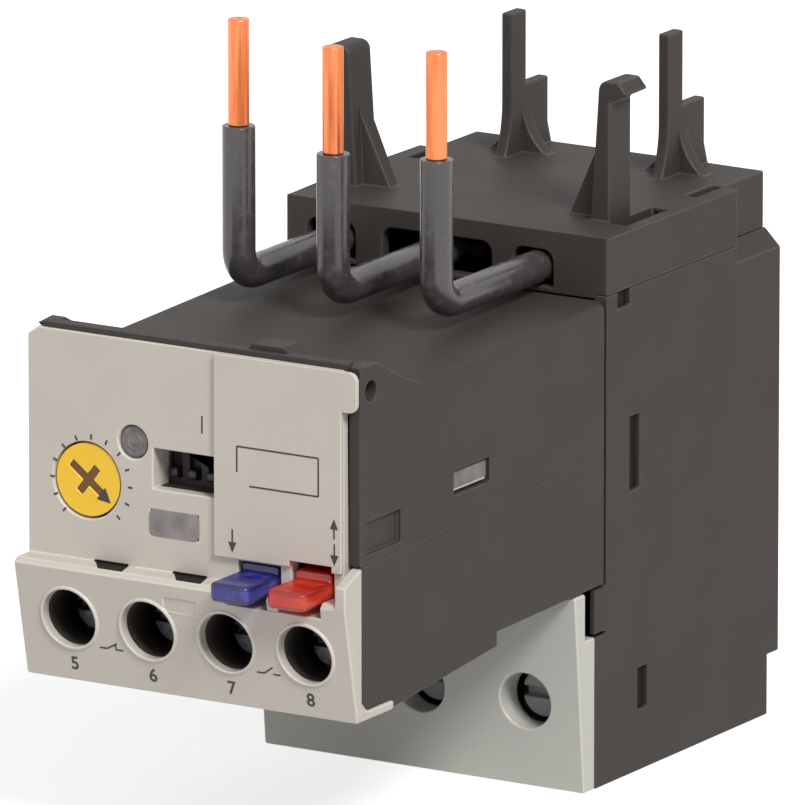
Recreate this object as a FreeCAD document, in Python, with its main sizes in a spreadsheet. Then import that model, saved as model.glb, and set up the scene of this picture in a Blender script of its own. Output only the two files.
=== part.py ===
import FreeCAD, Part
import operator
import os
import Sketcher
from FreeCAD import Rotation, Vector

# Electronic overload relay in millimetres: X across the front, Y to the back, Z up to the contactor.
# The origin is the middle of the relay's box, on the surface that it stands on.

sizes = {
    # rear housing
    "housing_width": 44.2,
    "rear_depth": 40.4,
    "rear_height": 59.1,
    "wall": 1.8,
    "floor": 2.0,
    "foot_height": 7.3,
    "foot_recess": 2.6,
    "shoulder_depth": 10.2,
    "shoulder_inset": 2.1,
    "tongue_reach": 2.5,
    "barrier": 1.2,
    "barrier_drop": 3.2,
    "barrier_depth": 12.0,
    # side slots of the rear housing
    "slot_width": 2.3,
    "slot_setback": 5.3,
    "slot_level": 34.5,
    "slot_height": 9.0,
    "low_slot_setback": 7.3,
    "low_slot_level": 7.4,
    "low_slot_height": 5.1,
    "vent_setback": 2.4,
    "vent_width": 2.9,
    "vent_height": 2.0,
    "slit_drop": 5.8,
    "slit": 0.35,
    "tongue_window": 1.8,
    # top cap
    "cap_height": 7.0,
    "cap_back_gap": 0.4,
    "cap_lip": 0.55,
    "hook_inset": 3.4,
    "prong_shift": 0.6,
    "hook_setback": 7.1,
    "hook_width": 5.0,
    "hook_thickness": 1.5,
    "hook_foot": 2.7,
    "hook_height": 16.95,
    "hook_overhang": 2.3,
    "hook_nose": 1.4,
    "hook_undercut": 2.5,
    "hook_round": 1.2,
    "hook_rib_reach": 4.9,
    "hook_rib_height": 10.4,
    "hook_rib": 2.0,
    "hook_slot_width": 2.5,
    "hook_slot_length": 9.8,
    "post_span": 21.7,
    "post_shift": 0.75,
    "post_setback": 30.6,
    "post_thickness": 1.5,
    "post_tall_width": 3.4,
    "post_short_width": 5.1,
    "post_tall_height": 17.4,
    "post_short_height": 8.3,
    "post_flare": 0.9,
    "post_rib_reach": 5.6,
    "post_rib_height": 6.5,
    "post_rib": 2.0,
    "post_toe": 1.6,
    "cap_slot_setback": 24.0,
    "cap_slot_length": 6.3,
    "cap_slot_width": 1.5,
    # leads to the contactor
    "lead_draw": 1.0,
    "lead_shift": 1.3,
    "lead_rise": 2.4,
    "lead_reach_left": 22.1,
    "lead_reach_middle": 23.2,
    "lead_reach_right": 22.4,
    "lead_tip_left": 30.9,
    "lead_tip_middle": 29.4,
    "lead_tip_right": 30.2,
    "lead_bend": 3.3,
    "lead_end": 18.0,
    "bare_length": 12.7,
    "copper_diameter": 2.5,
    "sleeve_diameter": 3.9,
    "sleeve_end": 4.5,
    "sleeve_gap": 0.03,
    "strip_gap": 0.3,
    "sleeved_diameter": 1.9,
    "window_height": 4.4,
    "window_corner": 1.4,
    "left_window_room": 4.3,
    "middle_window_room": 7.5,
    "right_window_room": 3.1,
    "window_room": 2.3,
    # load side
    "pole_margin": 5.7,
    "load_hole": 6.8,
    "load_screw_level": 10.5,
    "cover_gap": 0.35,
    "cover_lean": 2.2,
    "cover_foot_reach": 5.1,
    "cover_notch_reach": 4.7,
    "cover_notch_drop": 5.7,
    "load_entry_width": 6.4,
    "load_entry_depth": 5.0,
    "load_cage_width": 8.8,
    "load_cage_height": 9.0,
    "load_cage_wall": 1.2,
    "load_cage_front": 1.4,
    "load_head": 5.8,
    "load_head_height": 2.4,
    "load_thread": 4.0,
    "load_neck": 0.6,
    "bar_thickness": 1.2,
    "bar_width": 5.0,
    "tongue_setback": 7.6,
    "tongue_bottom": 5.0,
    "bar_level": 20.6,
    "bar_back_setback": 19.4,
    "transformer_bore": 6.0,
    "transformer_diameter": 11.2,
    "transformer_height": 11.0,
    "transformer_round": 1.2,
    "board": 1.6,
    "sensor_level": 31.0,
    "sensor_setback": 11.0,
    "sensor_depth": 17.0,
    "board_gap": 0.3,
    "ledge": 1.5,
    # front block
    "label_depth": 56.2,
    "plate": 1.8,
    "parting_front": 18.2,
    "parting_back": 20.2,
    "block_top_front": 37.0,
    "block_top_back": 38.2,
    "ear_rise": 0.3,
    "ear_thickness": 2.0,
    "ear_lap": 0.9,
    "ear_flat": 3.6,
    "ear_slope": 10.5,
    "ear_run": 15.2,
    "ear_shoulder": 38.4,
    "ear_hole": 2.5,
    "ear_hole_setback": 3.3,
    "ear_hole_level": 38.65,
    "latch_setback": 21.6,
    "latch_length": 8.1,
    "latch_level": 22.3,
    "latch_height": 2.9,
    "latch_arm": 1.2,
    "latch_sink": 0.5,
    "latch_gap": 0.25,
    "grip_setback": 2.3,
    "grip_length": 7.6,
    "grip_level": 19.4,
    "grip_height": 3.9,
    "grip_depth": 0.6,
    "boss_left": 5.2,
    "boss_width": 7.4,
    "boss_top": 41.8,
    "boss_slope": 2.1,
    "boss_depth": 3.4,
    "front_hang": 38.8,
    "lip": 0.8,
    "lip_depth": 7.6,
    "lip_chamfer": 1.5,
    "step_setback": 24.85,
    "step_front": 2.1,
    "step_back": 3.8,
    "block_heel": 4.25,
    "seam_groove": 0.6,
    "groove_depth": 0.9,
    "side_lap": 1.2,
    "side_rebate": 1.0,
    # front panel
    "panel_lap": 0.4,
    "label_top": 41.5,
    "label_margin": 2.1,
    "corner_wide": 1.4,
    "corner_high": 1.0,
    "ledge_top": 14.5,
    "ledge_reach": 3.2,
    "ledge_bevel": 0.6,
    "cheek": 1.4,
    "panel_foot_reach": 0.4,
    "panel_corner": 1.6,
    "dial_margin": 8.05,
    "dial_level": 24,
    "dial_diameter": 8.7,
    "dial_gap": 0.25,
    "dial_thickness": 1.5,
    "dial_sink": 0.25,
    "dial_shaft": 3.0,
    "dial_slot": 1.0,
    "dial_slot_length": 5.9,
    "dial_cross_length": 4.0,
    "dial_slot_depth": 0.6,
    "running_gap": 0.05,
    "light_margin": 14.35,
    "light_level": 29.35,
    "light_diameter": 3.95,
    "light_length": 6.0,
    "led_diameter": 3.0,
    "fit_gap": 0.05,
    "setting_margin": 17.1,
    "setting_width": 10.0,
    "setting_bottom": 24.2,
    "setting_top": 29,
    "setting_depth": 3.6,
    "slider_pitch": 2.54,
    "slider_width": 1.3,
    "slider_height": 1.2,
    "slider_reach": 0.9,
    "slider_root": 0.9,
    "slider_travel": 1.9,
    "slider_gap": 0.1,
    "slider_shift": 0.25,
    "setting_body_lap": 0.45,
    "setting_body_height": 7.6,
    "trip_window_margin": 16.67,
    "trip_window_width": 6.57,
    "trip_window_level": 18.7,
    "trip_window_height": 3.0,
    "ledge_slot_width": 4.4,
    "ledge_slot_height": 1.1,
    "ledge_slot_margin": 10.3,
    "ledge_slot_step": 10.7,
    "tag_left": 2.8,
    "tag_width": 4.7,
    "tag_level": 10.3,
    "tag_height": 2.0,
    "tag_depth": 0.4,
    "cover_plate": 0.6,
    "cover_plate_width": 17.2,
    "cover_plate_bottom": 17.5,
    "cover_ear_level": 36.7,
    "cover_ear_corner": 1.1,
    # levers
    "lever_width": 5.2,
    "lever_gap": 0.25,
    "lever_level": 13.9,
    "lever_root": 3.3,
    "lever_tip": 2.25,
    "lever_sink": 0.1,
    "lever_round": 0.9,
    "collar_round": 0.7,
    "lever_inner": 8.2,
    "lever_pitch": 7.2,
    "reset_reach": 7.0,
    "reset_travel": 1.0,
    "test_margin": 6.3,
    "test_reach": 6.2,
    "test_travel": 0.8,
    "leaf": 0.3,
    "leaf_width": 2.2,
    "leaf_gap": 0.1,
    "leaf_foot": 1.0,
    # control terminals
    "control_margin": 6.45,
    "control_shift": 0.4,
    "control_level": 7.8,
    "control_hole": 6.4,
    "control_cage_width": 6.4,
    "control_cage_wall": 0.7,
    "control_cage_height": 7.0,
    "control_cage_setback": 5.2,
    "control_space": 4.8,
    "control_entry": 5.2,
    "control_bar": 1.0,
    "control_bar_width": 4.8,
    "control_bar_lift": 0.4,
    "control_head": 5.6,
    "control_head_height": 2.2,
    "control_thread": 3.2,
    "control_neck": 0.9,
    "divider_height": 12.5,
    # trip relay
    "contact_level": 17.7,
    "contact_height": 2.2,
    "contact_travel": 1.5,
    "contact_gap": 0.1,
    "button_diameter": 2.4,
    "button_height": 0.45,
    "bridge": 0.45,
    "bridge_overhang": 1.6,
    "carrier_depth": 2.2,
    "carrier_arm_width": 3.2,
    "flag_gap": 0.4,
    "flag": 0.6,
    "flag_height": 5.2,
    "flag_level": 16.9,
    "flag_arm": 1.0,
    "flag_arm_width": 2.4,
    "flag_arm_inset": 0.74,
    "wedge_gap": 0.3,
    "wedge_run": 2.8,
    "wedge_setback": 10.4,
    "main_board_setback": 22.2,
    "main_board_back": 4.0,
    "main_board_level": 7.7,
    "relay_setback": 21.4,
    "pivot_level": 33.6,
    "pivot_diameter": 2.0,
    "pivot_barrel": 3.0,
    "armature": 1.2,
    "armature_width": 10.0,
    "armature_tongue": 2.0,
    "armature_drop": 14.4,
    "tongue_play": 0.25,
    "yoke": 1.2,
    "yoke_width": 13.2,
    "yoke_depth": 22.8,
    "yoke_foot": 8.0,
    "core_diameter": 5.0,
    "core_level": 26.2,
    "core_gap": 1.0,
    "bobbin_flange": 13.6,
    "bobbin_wall": 0.8,
    "winding_diameter": 12.2,
    "capacitor_diameter": 9.0,
    "capacitor_length": 14.0,
    "ribbon": 0.4,
    "ribbon_width": 12.0,
}

doc = FreeCAD.newDocument("OverloadRelay")
sheet = doc.addObject("Spreadsheet::Sheet", "Dims")
signs = {"+": operator.add, "-": operator.sub, "*": operator.mul, "/": operator.truediv}


class Size:
    """A number with the sheet formula that gives it."""

    def __init__(self, value, formula):
        self.value = value
        self.formula = formula

    def __add__(self, other):
        return combine(self, "+", other)

    def __radd__(self, other):
        return combine(other, "+", self)

    def __sub__(self, other):
        return combine(self, "-", other)

    def __rsub__(self, other):
        return combine(other, "-", self)

    def __mul__(self, other):
        return combine(self, "*", other)

    def __rmul__(self, other):
        return combine(other, "*", self)

    def __truediv__(self, other):
        return combine(self, "/", other)

    def __neg__(self):
        return combine(0, "-", self)


def as_size(number):
    if isinstance(number, Size):
        return number
    return Size(float(number), f"({float(number):g})")


def combine(left, sign, right):
    left = as_size(left)
    right = as_size(right)
    return Size(signs[sign](left.value, right.value), f"({left.formula} {sign} {right.formula})")


class Table:
    """The sheet's sizes by name."""


dims = Table()
for row, (alias, number) in enumerate(sizes.items(), 1):
    sheet.set(f"A{row}", alias)
    sheet.set(f"B{row}", str(number))
    sheet.setAlias(f"B{row}", alias)
    setattr(dims, alias, Size(number, f"Dims.{alias}"))
doc.recompute()

# The front block hangs from the rear housing's top: the sheet gives its levels above the panel's foot,
# and here they become levels above the ground.

dims.panel_bottom = dims.rear_height - dims.front_hang
front_levels = (
    "parting_front", "parting_back", "block_top_front", "block_top_back", "ear_shoulder",
    "ear_hole_level", "latch_level", "grip_level", "boss_top", "step_front", "step_back", "block_heel",
    "label_top", "ledge_top", "dial_level", "light_level", "setting_bottom", "setting_top",
    "trip_window_level", "tag_level", "cover_plate_bottom", "cover_ear_level", "lever_level",
    "control_level", "divider_height", "contact_level", "flag_level", "main_board_level", "pivot_level",
    "core_level")
for alias in front_levels:
    setattr(dims, alias, dims.panel_bottom + getattr(dims, alias))
dims.ear_top = dims.label_top + dims.ear_rise

nodes = {}
sides = (-1, 1)


def bind(item, path, size):
    item.setExpression(path, as_size(size).formula)


def node(item, label):
    item.Label = label
    nodes[label] = item
    return item


# Outlines for sketches: each draws closed lines whose places are bound to the sheet

def pin_point(sketch, geometry, end, place):
    for kind, size in zip(("DistanceX", "DistanceY"), place):
        size = as_size(size)
        index = sketch.addConstraint(Sketcher.Constraint(kind, -1, 1, geometry, end, size.value))
        bind(sketch, f"Constraints[{index}]", size)


def hollow_arc(start, finish, level):
    """A round stretch between two corners, about a centre at the given level."""
    chord = finish - start
    middle = (start + finish) / 2
    centre = middle + Vector(-chord.y, chord.x, 0) * ((level - middle.y) / chord.x)
    radius = (start - centre).Length
    return Part.Arc(start, centre + (middle - centre).normalize() * radius, finish)


def polygon(*points, hollows=None):
    """Straight lines through the points; hollows gives the level of the centre of each hollow side."""
    hollows = hollows or {}

    def draw(sketch):
        first = sketch.GeometryCount
        corners = [Vector(as_size(a).value, as_size(b).value, 0) for a, b in points]
        count = len(corners)
        ends = []
        for index in range(count):
            start, finish = corners[index], corners[(index + 1) % count]
            if index in hollows:
                sketch.addGeometry(hollow_arc(start, finish, as_size(hollows[index]).value))
                turned = (sketch.getPoint(first + index, 1) - start).Length > 0.001
                ends.append((2, 1) if turned else (1, 2))
            else:
                sketch.addGeometry(Part.LineSegment(start, finish))
                ends.append((1, 2))
        for index in range(count):
            following = (index + 1) % count
            sketch.addConstraint(Sketcher.Constraint(
                "Coincident", first + index, ends[index][1], first + following, ends[following][0]))
            pin_point(sketch, first + index, ends[index][0], points[index])
        for index, level in hollows.items():
            size = as_size(level)
            place = sketch.addConstraint(
                Sketcher.Constraint("DistanceY", -1, 1, first + index, 3, size.value))
            bind(sketch, f"Constraints[{place}]", size)
    return draw


def rectangle(left, right, low, high):
    return polygon((left, low), (right, low), (right, high), (left, high))


def circle(across, up, radius):
    def draw(sketch):
        size = as_size(radius)
        centre = Vector(as_size(across).value, as_size(up).value, 0)
        ring = sketch.addGeometry(Part.Circle(centre, Vector(0, 0, 1), size.value))
        pin_point(sketch, ring, 3, (across, up))
        index = sketch.addConstraint(Sketcher.Constraint("Radius", ring, size.value))
        bind(sketch, f"Constraints[{index}]", size)
    return draw


# Features of a body, between two places along the axis across their sketch plane

def new_body(label):
    return node(doc.addObject("PartDesign::Body", "Body"), label)


def draw_sketch(body, plane, place, outlines):
    planes = {item.Role: item for item in body.Origin.OriginFeatures}
    sketch = body.newObject("Sketcher::SketchObject", "Sketch")
    sketch.AttachmentSupport = [(planes[plane + "_Plane"], "")]
    sketch.MapMode = "FlatFace"
    bind(sketch, "AttachmentOffset.Base.z", -place if plane == "XZ" else place)
    for outline in outlines:
        outline(sketch)
    return sketch


def add(body, plane, low, high, *outlines):
    low = as_size(low)
    high = as_size(high)
    pad = body.newObject("PartDesign::Pad", "Pad")
    pad.Profile = draw_sketch(body, plane, high if plane == "XZ" else low, outlines)
    bind(pad, "Length", high - low)
    body.Tip = pad


def cut(body, plane, low, high, *outlines):
    low = as_size(low)
    high = as_size(high)
    pocket = body.newObject("PartDesign::Pocket", "Pocket")
    pocket.Profile = draw_sketch(body, plane, low if plane == "XZ" else high, outlines)
    bind(pocket, "Length", high - low)
    body.Tip = pocket


def round_edges(body, radius, chosen):
    """Fillet the body's edges that the test chooses."""
    doc.recompute()
    base = body.Tip
    names = [f"Edge{index}" for index, edge in enumerate(base.Shape.Edges, 1) if chosen(edge)]
    fillet = body.newObject("PartDesign::Fillet", "Fillet")
    fillet.Base = (base, names)
    bind(fillet, "Radius", radius)
    body.Tip = fillet


def runs_along(edge, axis, x=None, y=None, z=None):
    """True for a straight edge along the axis through the given places."""
    if len(edge.Vertexes) != 2:
        return False
    start, finish = (vertex.Point for vertex in edge.Vertexes)
    step = finish - start
    others = [abs(getattr(step, name)) for name in "xyz" if name != axis]
    wanted = {"x": x, "y": y, "z": z}
    near = [abs(getattr(start, name) - as_size(place).value) < 0.02
            for name, place in wanted.items() if place is not None]
    return max(others) < 0.001 and all(near)


def side_range(side, near, far):
    """The X range between two distances from the middle, on one side."""
    return (near, far) if side > 0 else (-far, -near)


# Part primitives, bound to the sheet

def block(x_low, x_high, y_low, y_high, z_low, z_high):
    item = doc.addObject("Part::Box", "Block")
    for axis, side, low, high in (("x", "Length", x_low, x_high), ("y", "Width", y_low, y_high),
                                  ("z", "Height", z_low, z_high)):
        bind(item, side, high - as_size(low))
        bind(item, f"Placement.Base.{axis}", low)
    return item


turns = {"x": Rotation(Vector(0, 1, 0), 90), "y": Rotation(Vector(1, 0, 0), -90), "z": Rotation()}


def rod(axis, radius, low, high, x=0, y=0, z=0):
    """A round bar along an axis, from low to high on it."""
    item = doc.addObject("Part::Cylinder", "Rod")
    place = {"x": x, "y": y, "z": z}
    place[axis] = low
    item.Placement.Rotation = turns[axis]
    for name, size in place.items():
        bind(item, f"Placement.Base.{name}", size)
    bind(item, "Radius", radius)
    bind(item, "Height", high - as_size(low))
    return item


def join(*items):
    fuse = doc.addObject("Part::MultiFuse", "Join")
    fuse.Shapes = list(items)
    return fuse


def carve(base, *tools):
    for tool in tools:
        result = doc.addObject("Part::Cut", "Carve")
        result.Base = base
        result.Tool = tool
        base = result
    return base


def group(*items):
    compound = doc.addObject("Part::Compound", "Group")
    compound.Links = list(items)
    return compound


# Shared places

seam = (dims.label_depth + dims.reset_reach - dims.rear_depth) / 2
half = dims.housing_width / 2
inner = half - dims.wall
back = seam + dims.rear_depth
cap_top = dims.rear_height + dims.cap_height
shoulder = back - dims.shoulder_depth
face = seam - dims.label_depth
shell_front = face + dims.plate
side_front = shell_front - dims.side_lap
past = dims.wall
load_pitch = inner - dims.pole_margin
lead_pitch = load_pitch - dims.lead_draw
lead_level = dims.rear_height + dims.lead_rise
cover_top = dims.block_heel - dims.cover_gap
load_poles = [(index - 1) * load_pitch for index in range(3)]
lead_poles = [(index - 1) * lead_pitch - dims.lead_shift for index in range(3)]

# Places across the panel: the dial side from its left edge, the lever side from its right edge

panel_half = half + dims.panel_lap
label_right = panel_half - dims.label_margin
dial_x = dims.dial_margin - panel_half
# degrees below level that the dial points at its highest setting
dial_rest = 38
light_x = dims.light_margin - panel_half
setting_left = dims.setting_margin - panel_half
setting_right = setting_left + dims.setting_width
trip_left = dims.trip_window_margin - panel_half
trip_right = trip_left + dims.trip_window_width
flag_x = trip_right - dims.flag_arm_inset
test_x = panel_half - dims.test_margin
reset_x = test_x - dims.lever_pitch
control_pitch = (panel_half - dims.control_margin) / 1.5
control_poles = [(index - 1.5) * control_pitch + dims.control_shift for index in range(4)]


# Rear housing: an open tub, narrowed at the back under the cap

def rear_housing():
    body = new_body("rear_housing")
    front = seam - dims.tongue_reach
    foot_back = back - dims.foot_recess
    add(body, "YZ", -half, half, polygon(
        (front, 0), (foot_back, 0), (foot_back, dims.foot_height), (back, dims.foot_height),
        (back, dims.rear_height), (seam, dims.rear_height), (seam, cover_top),
        (front, cover_top)))
    narrow = shoulder - dims.wall
    top = dims.rear_height + past
    cut(body, "YZ", -inner, inner, rectangle(front - past, narrow, dims.floor, top))
    step = dims.foot_height + dims.wall
    tail = inner - dims.shoulder_inset
    cut(body, "YZ", -tail, tail, polygon(
        (narrow - past, dims.floor), (foot_back - dims.wall, dims.floor), (foot_back - dims.wall, step),
        (back - dims.wall, step), (back - dims.wall, top), (narrow - past, top)))
    edge = half - dims.shoulder_inset
    drop = dims.rear_height - dims.shoulder_inset
    for side in sides:
        cut(body, "XZ", shoulder, back + past, polygon(
            (side * edge, dims.rear_height), (side * half, drop), (side * (half + past), drop),
            (side * (half + past), dims.rear_height + past), (side * edge, dims.rear_height + past)))
        low, high = side_range(side, inner - past / 2, half + past)
        cut(body, "YZ", low, high, *side_slots(front))
        low, high = side_range(side, inner - dims.ledge, inner + past / 2)
        rest = dims.sensor_level - dims.board_gap
        add(body, "YZ", low, high, polygon(
            (seam + dims.sensor_setback, rest), (seam + dims.sensor_setback, rest - dims.ledge),
            (narrow, rest - dims.ledge), (narrow, rest)))
    walls = []
    for side in sides:
        middle = side * load_pitch / 2
        walls.append(rectangle(middle - dims.barrier / 2, middle + dims.barrier / 2,
                               front, seam + dims.barrier_depth))
    add(body, "XY", dims.floor / 2, cover_top - dims.barrier_drop, *walls)
    entry = seam + dims.tongue_setback - dims.load_entry_depth
    cut(body, "XY", -past, dims.floor + past, *[
        rectangle(pole - dims.load_entry_width / 2, pole + dims.load_entry_width / 2,
                  entry, entry + dims.load_entry_depth) for pole in load_poles])


def side_slots(front):
    tall = seam + dims.slot_setback
    low = seam + dims.low_slot_setback
    vent = seam + dims.vent_setback
    slit = cover_top - dims.slit_drop
    window = front + dims.tongue_window
    return (
        rectangle(tall, tall + dims.slot_width, dims.slot_level, dims.slot_level + dims.slot_height),
        rectangle(low, low + dims.slot_width, dims.low_slot_level,
                  dims.low_slot_level + dims.low_slot_height),
        rectangle(vent, vent + dims.vent_width, dims.rear_height - dims.vent_height,
                  dims.rear_height + past),
        polygon((front - past, slit), (seam, slit), (seam, slit + dims.slit), (window, slit + dims.slit),
                (window, cover_top + past), (front - past, cover_top + past)))


# Top cap: lead windows in front, hooks and guide posts on top

def top_cap():
    body = new_body("top_cap")
    edge = half - dims.shoulder_inset
    end = back - dims.cap_back_gap
    add(body, "XY", dims.rear_height, cap_top, polygon(
        (-half, seam), (half, seam), (half, shoulder), (edge, shoulder),
        (edge, end), (-edge, end), (-edge, shoulder), (-half, shoulder)))
    hollow = inner - dims.shoulder_inset
    wide_end = shoulder - dims.wall
    cut(body, "XY", dims.rear_height - past, cap_top - dims.wall, polygon(
        (-inner, seam + dims.wall), (inner, seam + dims.wall), (inner, wide_end), (hollow, wide_end),
        (hollow, end - dims.wall), (-hollow, end - dims.wall), (-hollow, wide_end), (-inner, wide_end)))
    near = inner - dims.fit_gap
    add(body, "XY", dims.rear_height - dims.cap_lip, dims.rear_height + past / 2,
        rectangle(-near, near, seam, seam + dims.wall))
    lead_windows(body)
    for side in sides:
        hook(body, side)
        guide_post(body, side)
    doc.recompute()


def lead_windows(body):
    # room on the left and right of each lead, as the moulding has it
    rooms = ((dims.left_window_room, dims.window_room), (dims.middle_window_room, dims.middle_window_room),
             (dims.right_window_room, dims.window_room))
    low = lead_level - dims.window_height / 2
    high = lead_level + dims.window_height / 2
    windows = [rectangle(pole - left, pole + right, low, high)
               for pole, (left, right) in zip(lead_poles, rooms)]
    cut(body, "XZ", seam - past, seam + dims.wall + past, *windows)
    round_edges(body, dims.window_corner, lambda edge: runs_along(edge, "y", z=high))


def hook(body, side):
    def out(distance):
        return side * (half - dims.hook_inset + distance) - dims.prong_shift

    root = cap_top - dims.wall
    top = cap_top + dims.hook_height
    start = seam + dims.hook_setback
    finish = start + dims.hook_width
    add(body, "XZ", start, finish, polygon(
        (out(0), root), (out(0), top - dims.hook_undercut), (out(dims.hook_overhang), top - dims.hook_nose),
        (out(dims.hook_overhang / 2), top), (out(-dims.hook_thickness), top),
        (out(-dims.hook_foot), root)))
    middle = (start + finish) / 2
    foot = out(-dims.hook_thickness - dims.hook_rib_reach)
    rib = cap_top + dims.hook_rib_height
    add(body, "XZ", middle - dims.hook_rib / 2, middle + dims.hook_rib / 2, polygon(
        (foot, root), (foot, cap_top), (out(-dims.hook_thickness), rib),
        (out(-dims.hook_thickness / 2), root)))
    low, high = sorted((out(0), out(dims.hook_slot_width)), key=lambda size: size.value)
    cut(body, "XY", root - past, cap_top + past,
        rectangle(low, high, start, start + dims.hook_slot_length))
    round_edges(body, dims.hook_round,
                lambda edge: runs_along(edge, "y", x=out(-dims.hook_thickness), z=top))


def guide_post(body, side):
    centre = side * dims.post_span / 2 + dims.post_shift
    root = cap_top - dims.wall / 2
    start = seam + dims.post_setback
    step = start + dims.post_tall_width
    end = step + dims.post_short_width
    low = centre - dims.post_thickness / 2
    high = centre + dims.post_thickness / 2
    toe = start - dims.post_toe
    rib = cap_top + dims.post_rib_height
    add(body, "YZ", low, high, polygon(
        (toe, root), (end + dims.post_flare, root), (end + dims.post_flare, cap_top),
        (end, cap_top + dims.post_flare * 3),
        (end, cap_top + dims.post_short_height), (step, cap_top + dims.post_short_height),
        (step, cap_top + dims.post_tall_height), (start, cap_top + dims.post_tall_height),
        (start, rib), (toe, cap_top), hollows={8: rib}))
    reach = dims.post_rib_reach
    add(body, "XZ", step - dims.post_rib / 2, step + dims.post_rib / 2, polygon(
        (centre - reach, root), (centre + reach, root), (high, rib), (low, rib), hollows={1: rib, 3: rib}))
    slot = side_range(side, half - dims.shoulder_inset - dims.cap_slot_width, half - dims.shoulder_inset)
    begin = seam + dims.cap_slot_setback
    cut(body, "XY", cap_top - dims.wall - past, cap_top + past,
        rectangle(slot[0], slot[1], begin, begin + dims.cap_slot_length))


# Solid copper leads in their sleeves, swept along one bend

def lead(index, reach, tip):
    x = lead_poles[index]
    front = seam - reach
    bend = dims.lead_bend
    thin = dims.sleeved_diameter / 2
    # the bare tip is a copper pin, thicker than the wire in the sleeve
    strip = tip - dims.bare_length
    core = swept("lead_conductor", index, x, front, strip + past, seam + dims.lead_end, bend, (thin,))
    add(core, "XY", strip, tip, circle(x, front, dims.copper_diameter / 2))
    swept("lead_insulation", index, x, front, strip - dims.strip_gap, seam + dims.sleeve_end, bend,
          (dims.sleeve_diameter / 2, thin + dims.sleeve_gap))


def swept(name, index, x, front, top, end, bend, radii):
    body = new_body(f"{name}_{index + 1}")
    spine = draw_sketch(body, "YZ", x, (bent_line(front, top, end, bend),))
    section = draw_sketch(body, "XY", top, [circle(x, front, radius) for radius in radii])
    pipe = body.newObject("PartDesign::AdditivePipe", "Pipe")
    pipe.Profile = section
    pipe.Spine = (spine, ["Edge1", "Edge2", "Edge3"])
    body.Tip = pipe
    return body


def bent_line(front, top, end, bend):
    level = lead_level

    def draw(sketch):
        y, z, tail, low, r = (size.value for size in (front, top, end, level, bend))
        diagonal = r * (1 - 0.5 ** 0.5)
        sketch.addGeometry(Part.LineSegment(Vector(y, z, 0), Vector(y, low + r, 0)))
        sketch.addGeometry(Part.Arc(Vector(y, low + r, 0), Vector(y + diagonal, low + diagonal, 0),
                                    Vector(y + r, low, 0)))
        sketch.addGeometry(Part.LineSegment(Vector(y + r, low, 0), Vector(tail, low, 0)))
        first, second = (1, 2) if abs(sketch.getPoint(1, 1).x - y) < 0.001 else (2, 1)
        sketch.addConstraint(Sketcher.Constraint("Tangent", 0, 2, 1, first))
        sketch.addConstraint(Sketcher.Constraint("Tangent", 2, 1, 1, second))
        pin_point(sketch, 0, 1, (front, top))
        pin_point(sketch, 2, 2, (end, level))
        sketch.addConstraint(Sketcher.Constraint("Vertical", 0))
        sketch.addConstraint(Sketcher.Constraint("Horizontal", 2))
        index = sketch.addConstraint(Sketcher.Constraint("Radius", 1, r))
        bind(sketch, f"Constraints[{index}]", bend)
    return draw


# Load side: cover, clamps, bars and current transformers

def load_terminal_cover():
    body = new_body("load_terminal_cover")
    top = cover_top
    low = cover_top - dims.cover_notch_drop
    foot = seam - dims.cover_foot_reach
    rear = seam - dims.tongue_reach
    notch = seam - dims.cover_notch_reach
    add(body, "YZ", -half, half, polygon(
        (foot, 0), (rear, 0), (rear, low), (notch, low), (notch, top), (foot - dims.cover_lean, top)))
    cut(body, "XZ", foot - dims.cover_lean - past, rear + past, *[
        circle(pole, dims.load_screw_level, dims.load_hole / 2) for pole in load_poles])


def box_clamp(pole, level, width, height, wall, front, inside, rear, thread):
    """A square wire clamp: open above and below, with the screw's hole in front."""
    low = level - height / 2
    shell = block(pole - width / 2, pole + width / 2, inside - front, rear + front, low, low + height)
    space = block(pole - width / 2 + wall, pole + width / 2 - wall, inside, rear, low - past,
                  low + height + past)
    hole = rod("y", thread, inside - front - past, inside + past, x=pole, z=level)
    return carve(shell, space, hole)


def clamp_screw(pole, level, thread, head, tip, head_back, head_front, slot):
    shank = rod("y", thread, head_back, tip, x=pole, z=level)
    cap = rod("y", head, head_front, head_back, x=pole, z=level)
    depth = (head_back - head_front) / 2
    groove = block(pole - head * 2, pole + head * 2, head_front - past, head_front + depth,
                   level - slot / 2, level + slot / 2)
    return carve(join(shank, cap), groove)


def load_terminals():
    rear = seam + dims.tongue_setback + dims.bar_thickness
    inside = seam + dims.tongue_setback - dims.load_entry_depth
    level = dims.load_screw_level
    thread = dims.load_thread / 2
    node(group(*[
        box_clamp(pole, level, dims.load_cage_width, dims.load_cage_height, dims.load_cage_wall,
                  dims.load_cage_front, inside, rear, thread + dims.fit_gap) for pole in load_poles]),
         "load_clamps")
    head_back = inside - dims.load_cage_front - dims.load_neck
    node(group(*[
        clamp_screw(pole, level, thread, dims.load_head / 2, inside, head_back,
                    head_back - dims.load_head_height, dims.load_neck * 2) for pole in load_poles]),
         "load_screws")
    for index, pole in enumerate(load_poles):
        phase_busbar(index, pole)
        current_transformer(index, pole)


def phase_busbar(index, pole):
    body = new_body(f"phase_busbar_{index + 1}")
    thickness = dims.bar_thickness
    tongue = seam + dims.tongue_setback
    rear = seam + dims.bar_back_setback
    level = dims.bar_level
    top = lead_level - dims.sleeved_diameter / 2 - dims.fit_gap
    pad = seam + dims.sleeve_end + dims.bar_width
    add(body, "YZ", pole - dims.bar_width / 2, pole + dims.bar_width / 2, polygon(
        (tongue, dims.tongue_bottom), (tongue + thickness, dims.tongue_bottom), (tongue + thickness, level),
        (rear + thickness, level), (rear + thickness, top), (pad, top), (pad, top - thickness),
        (rear, top - thickness), (rear, level + thickness), (tongue, level + thickness)))


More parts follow.
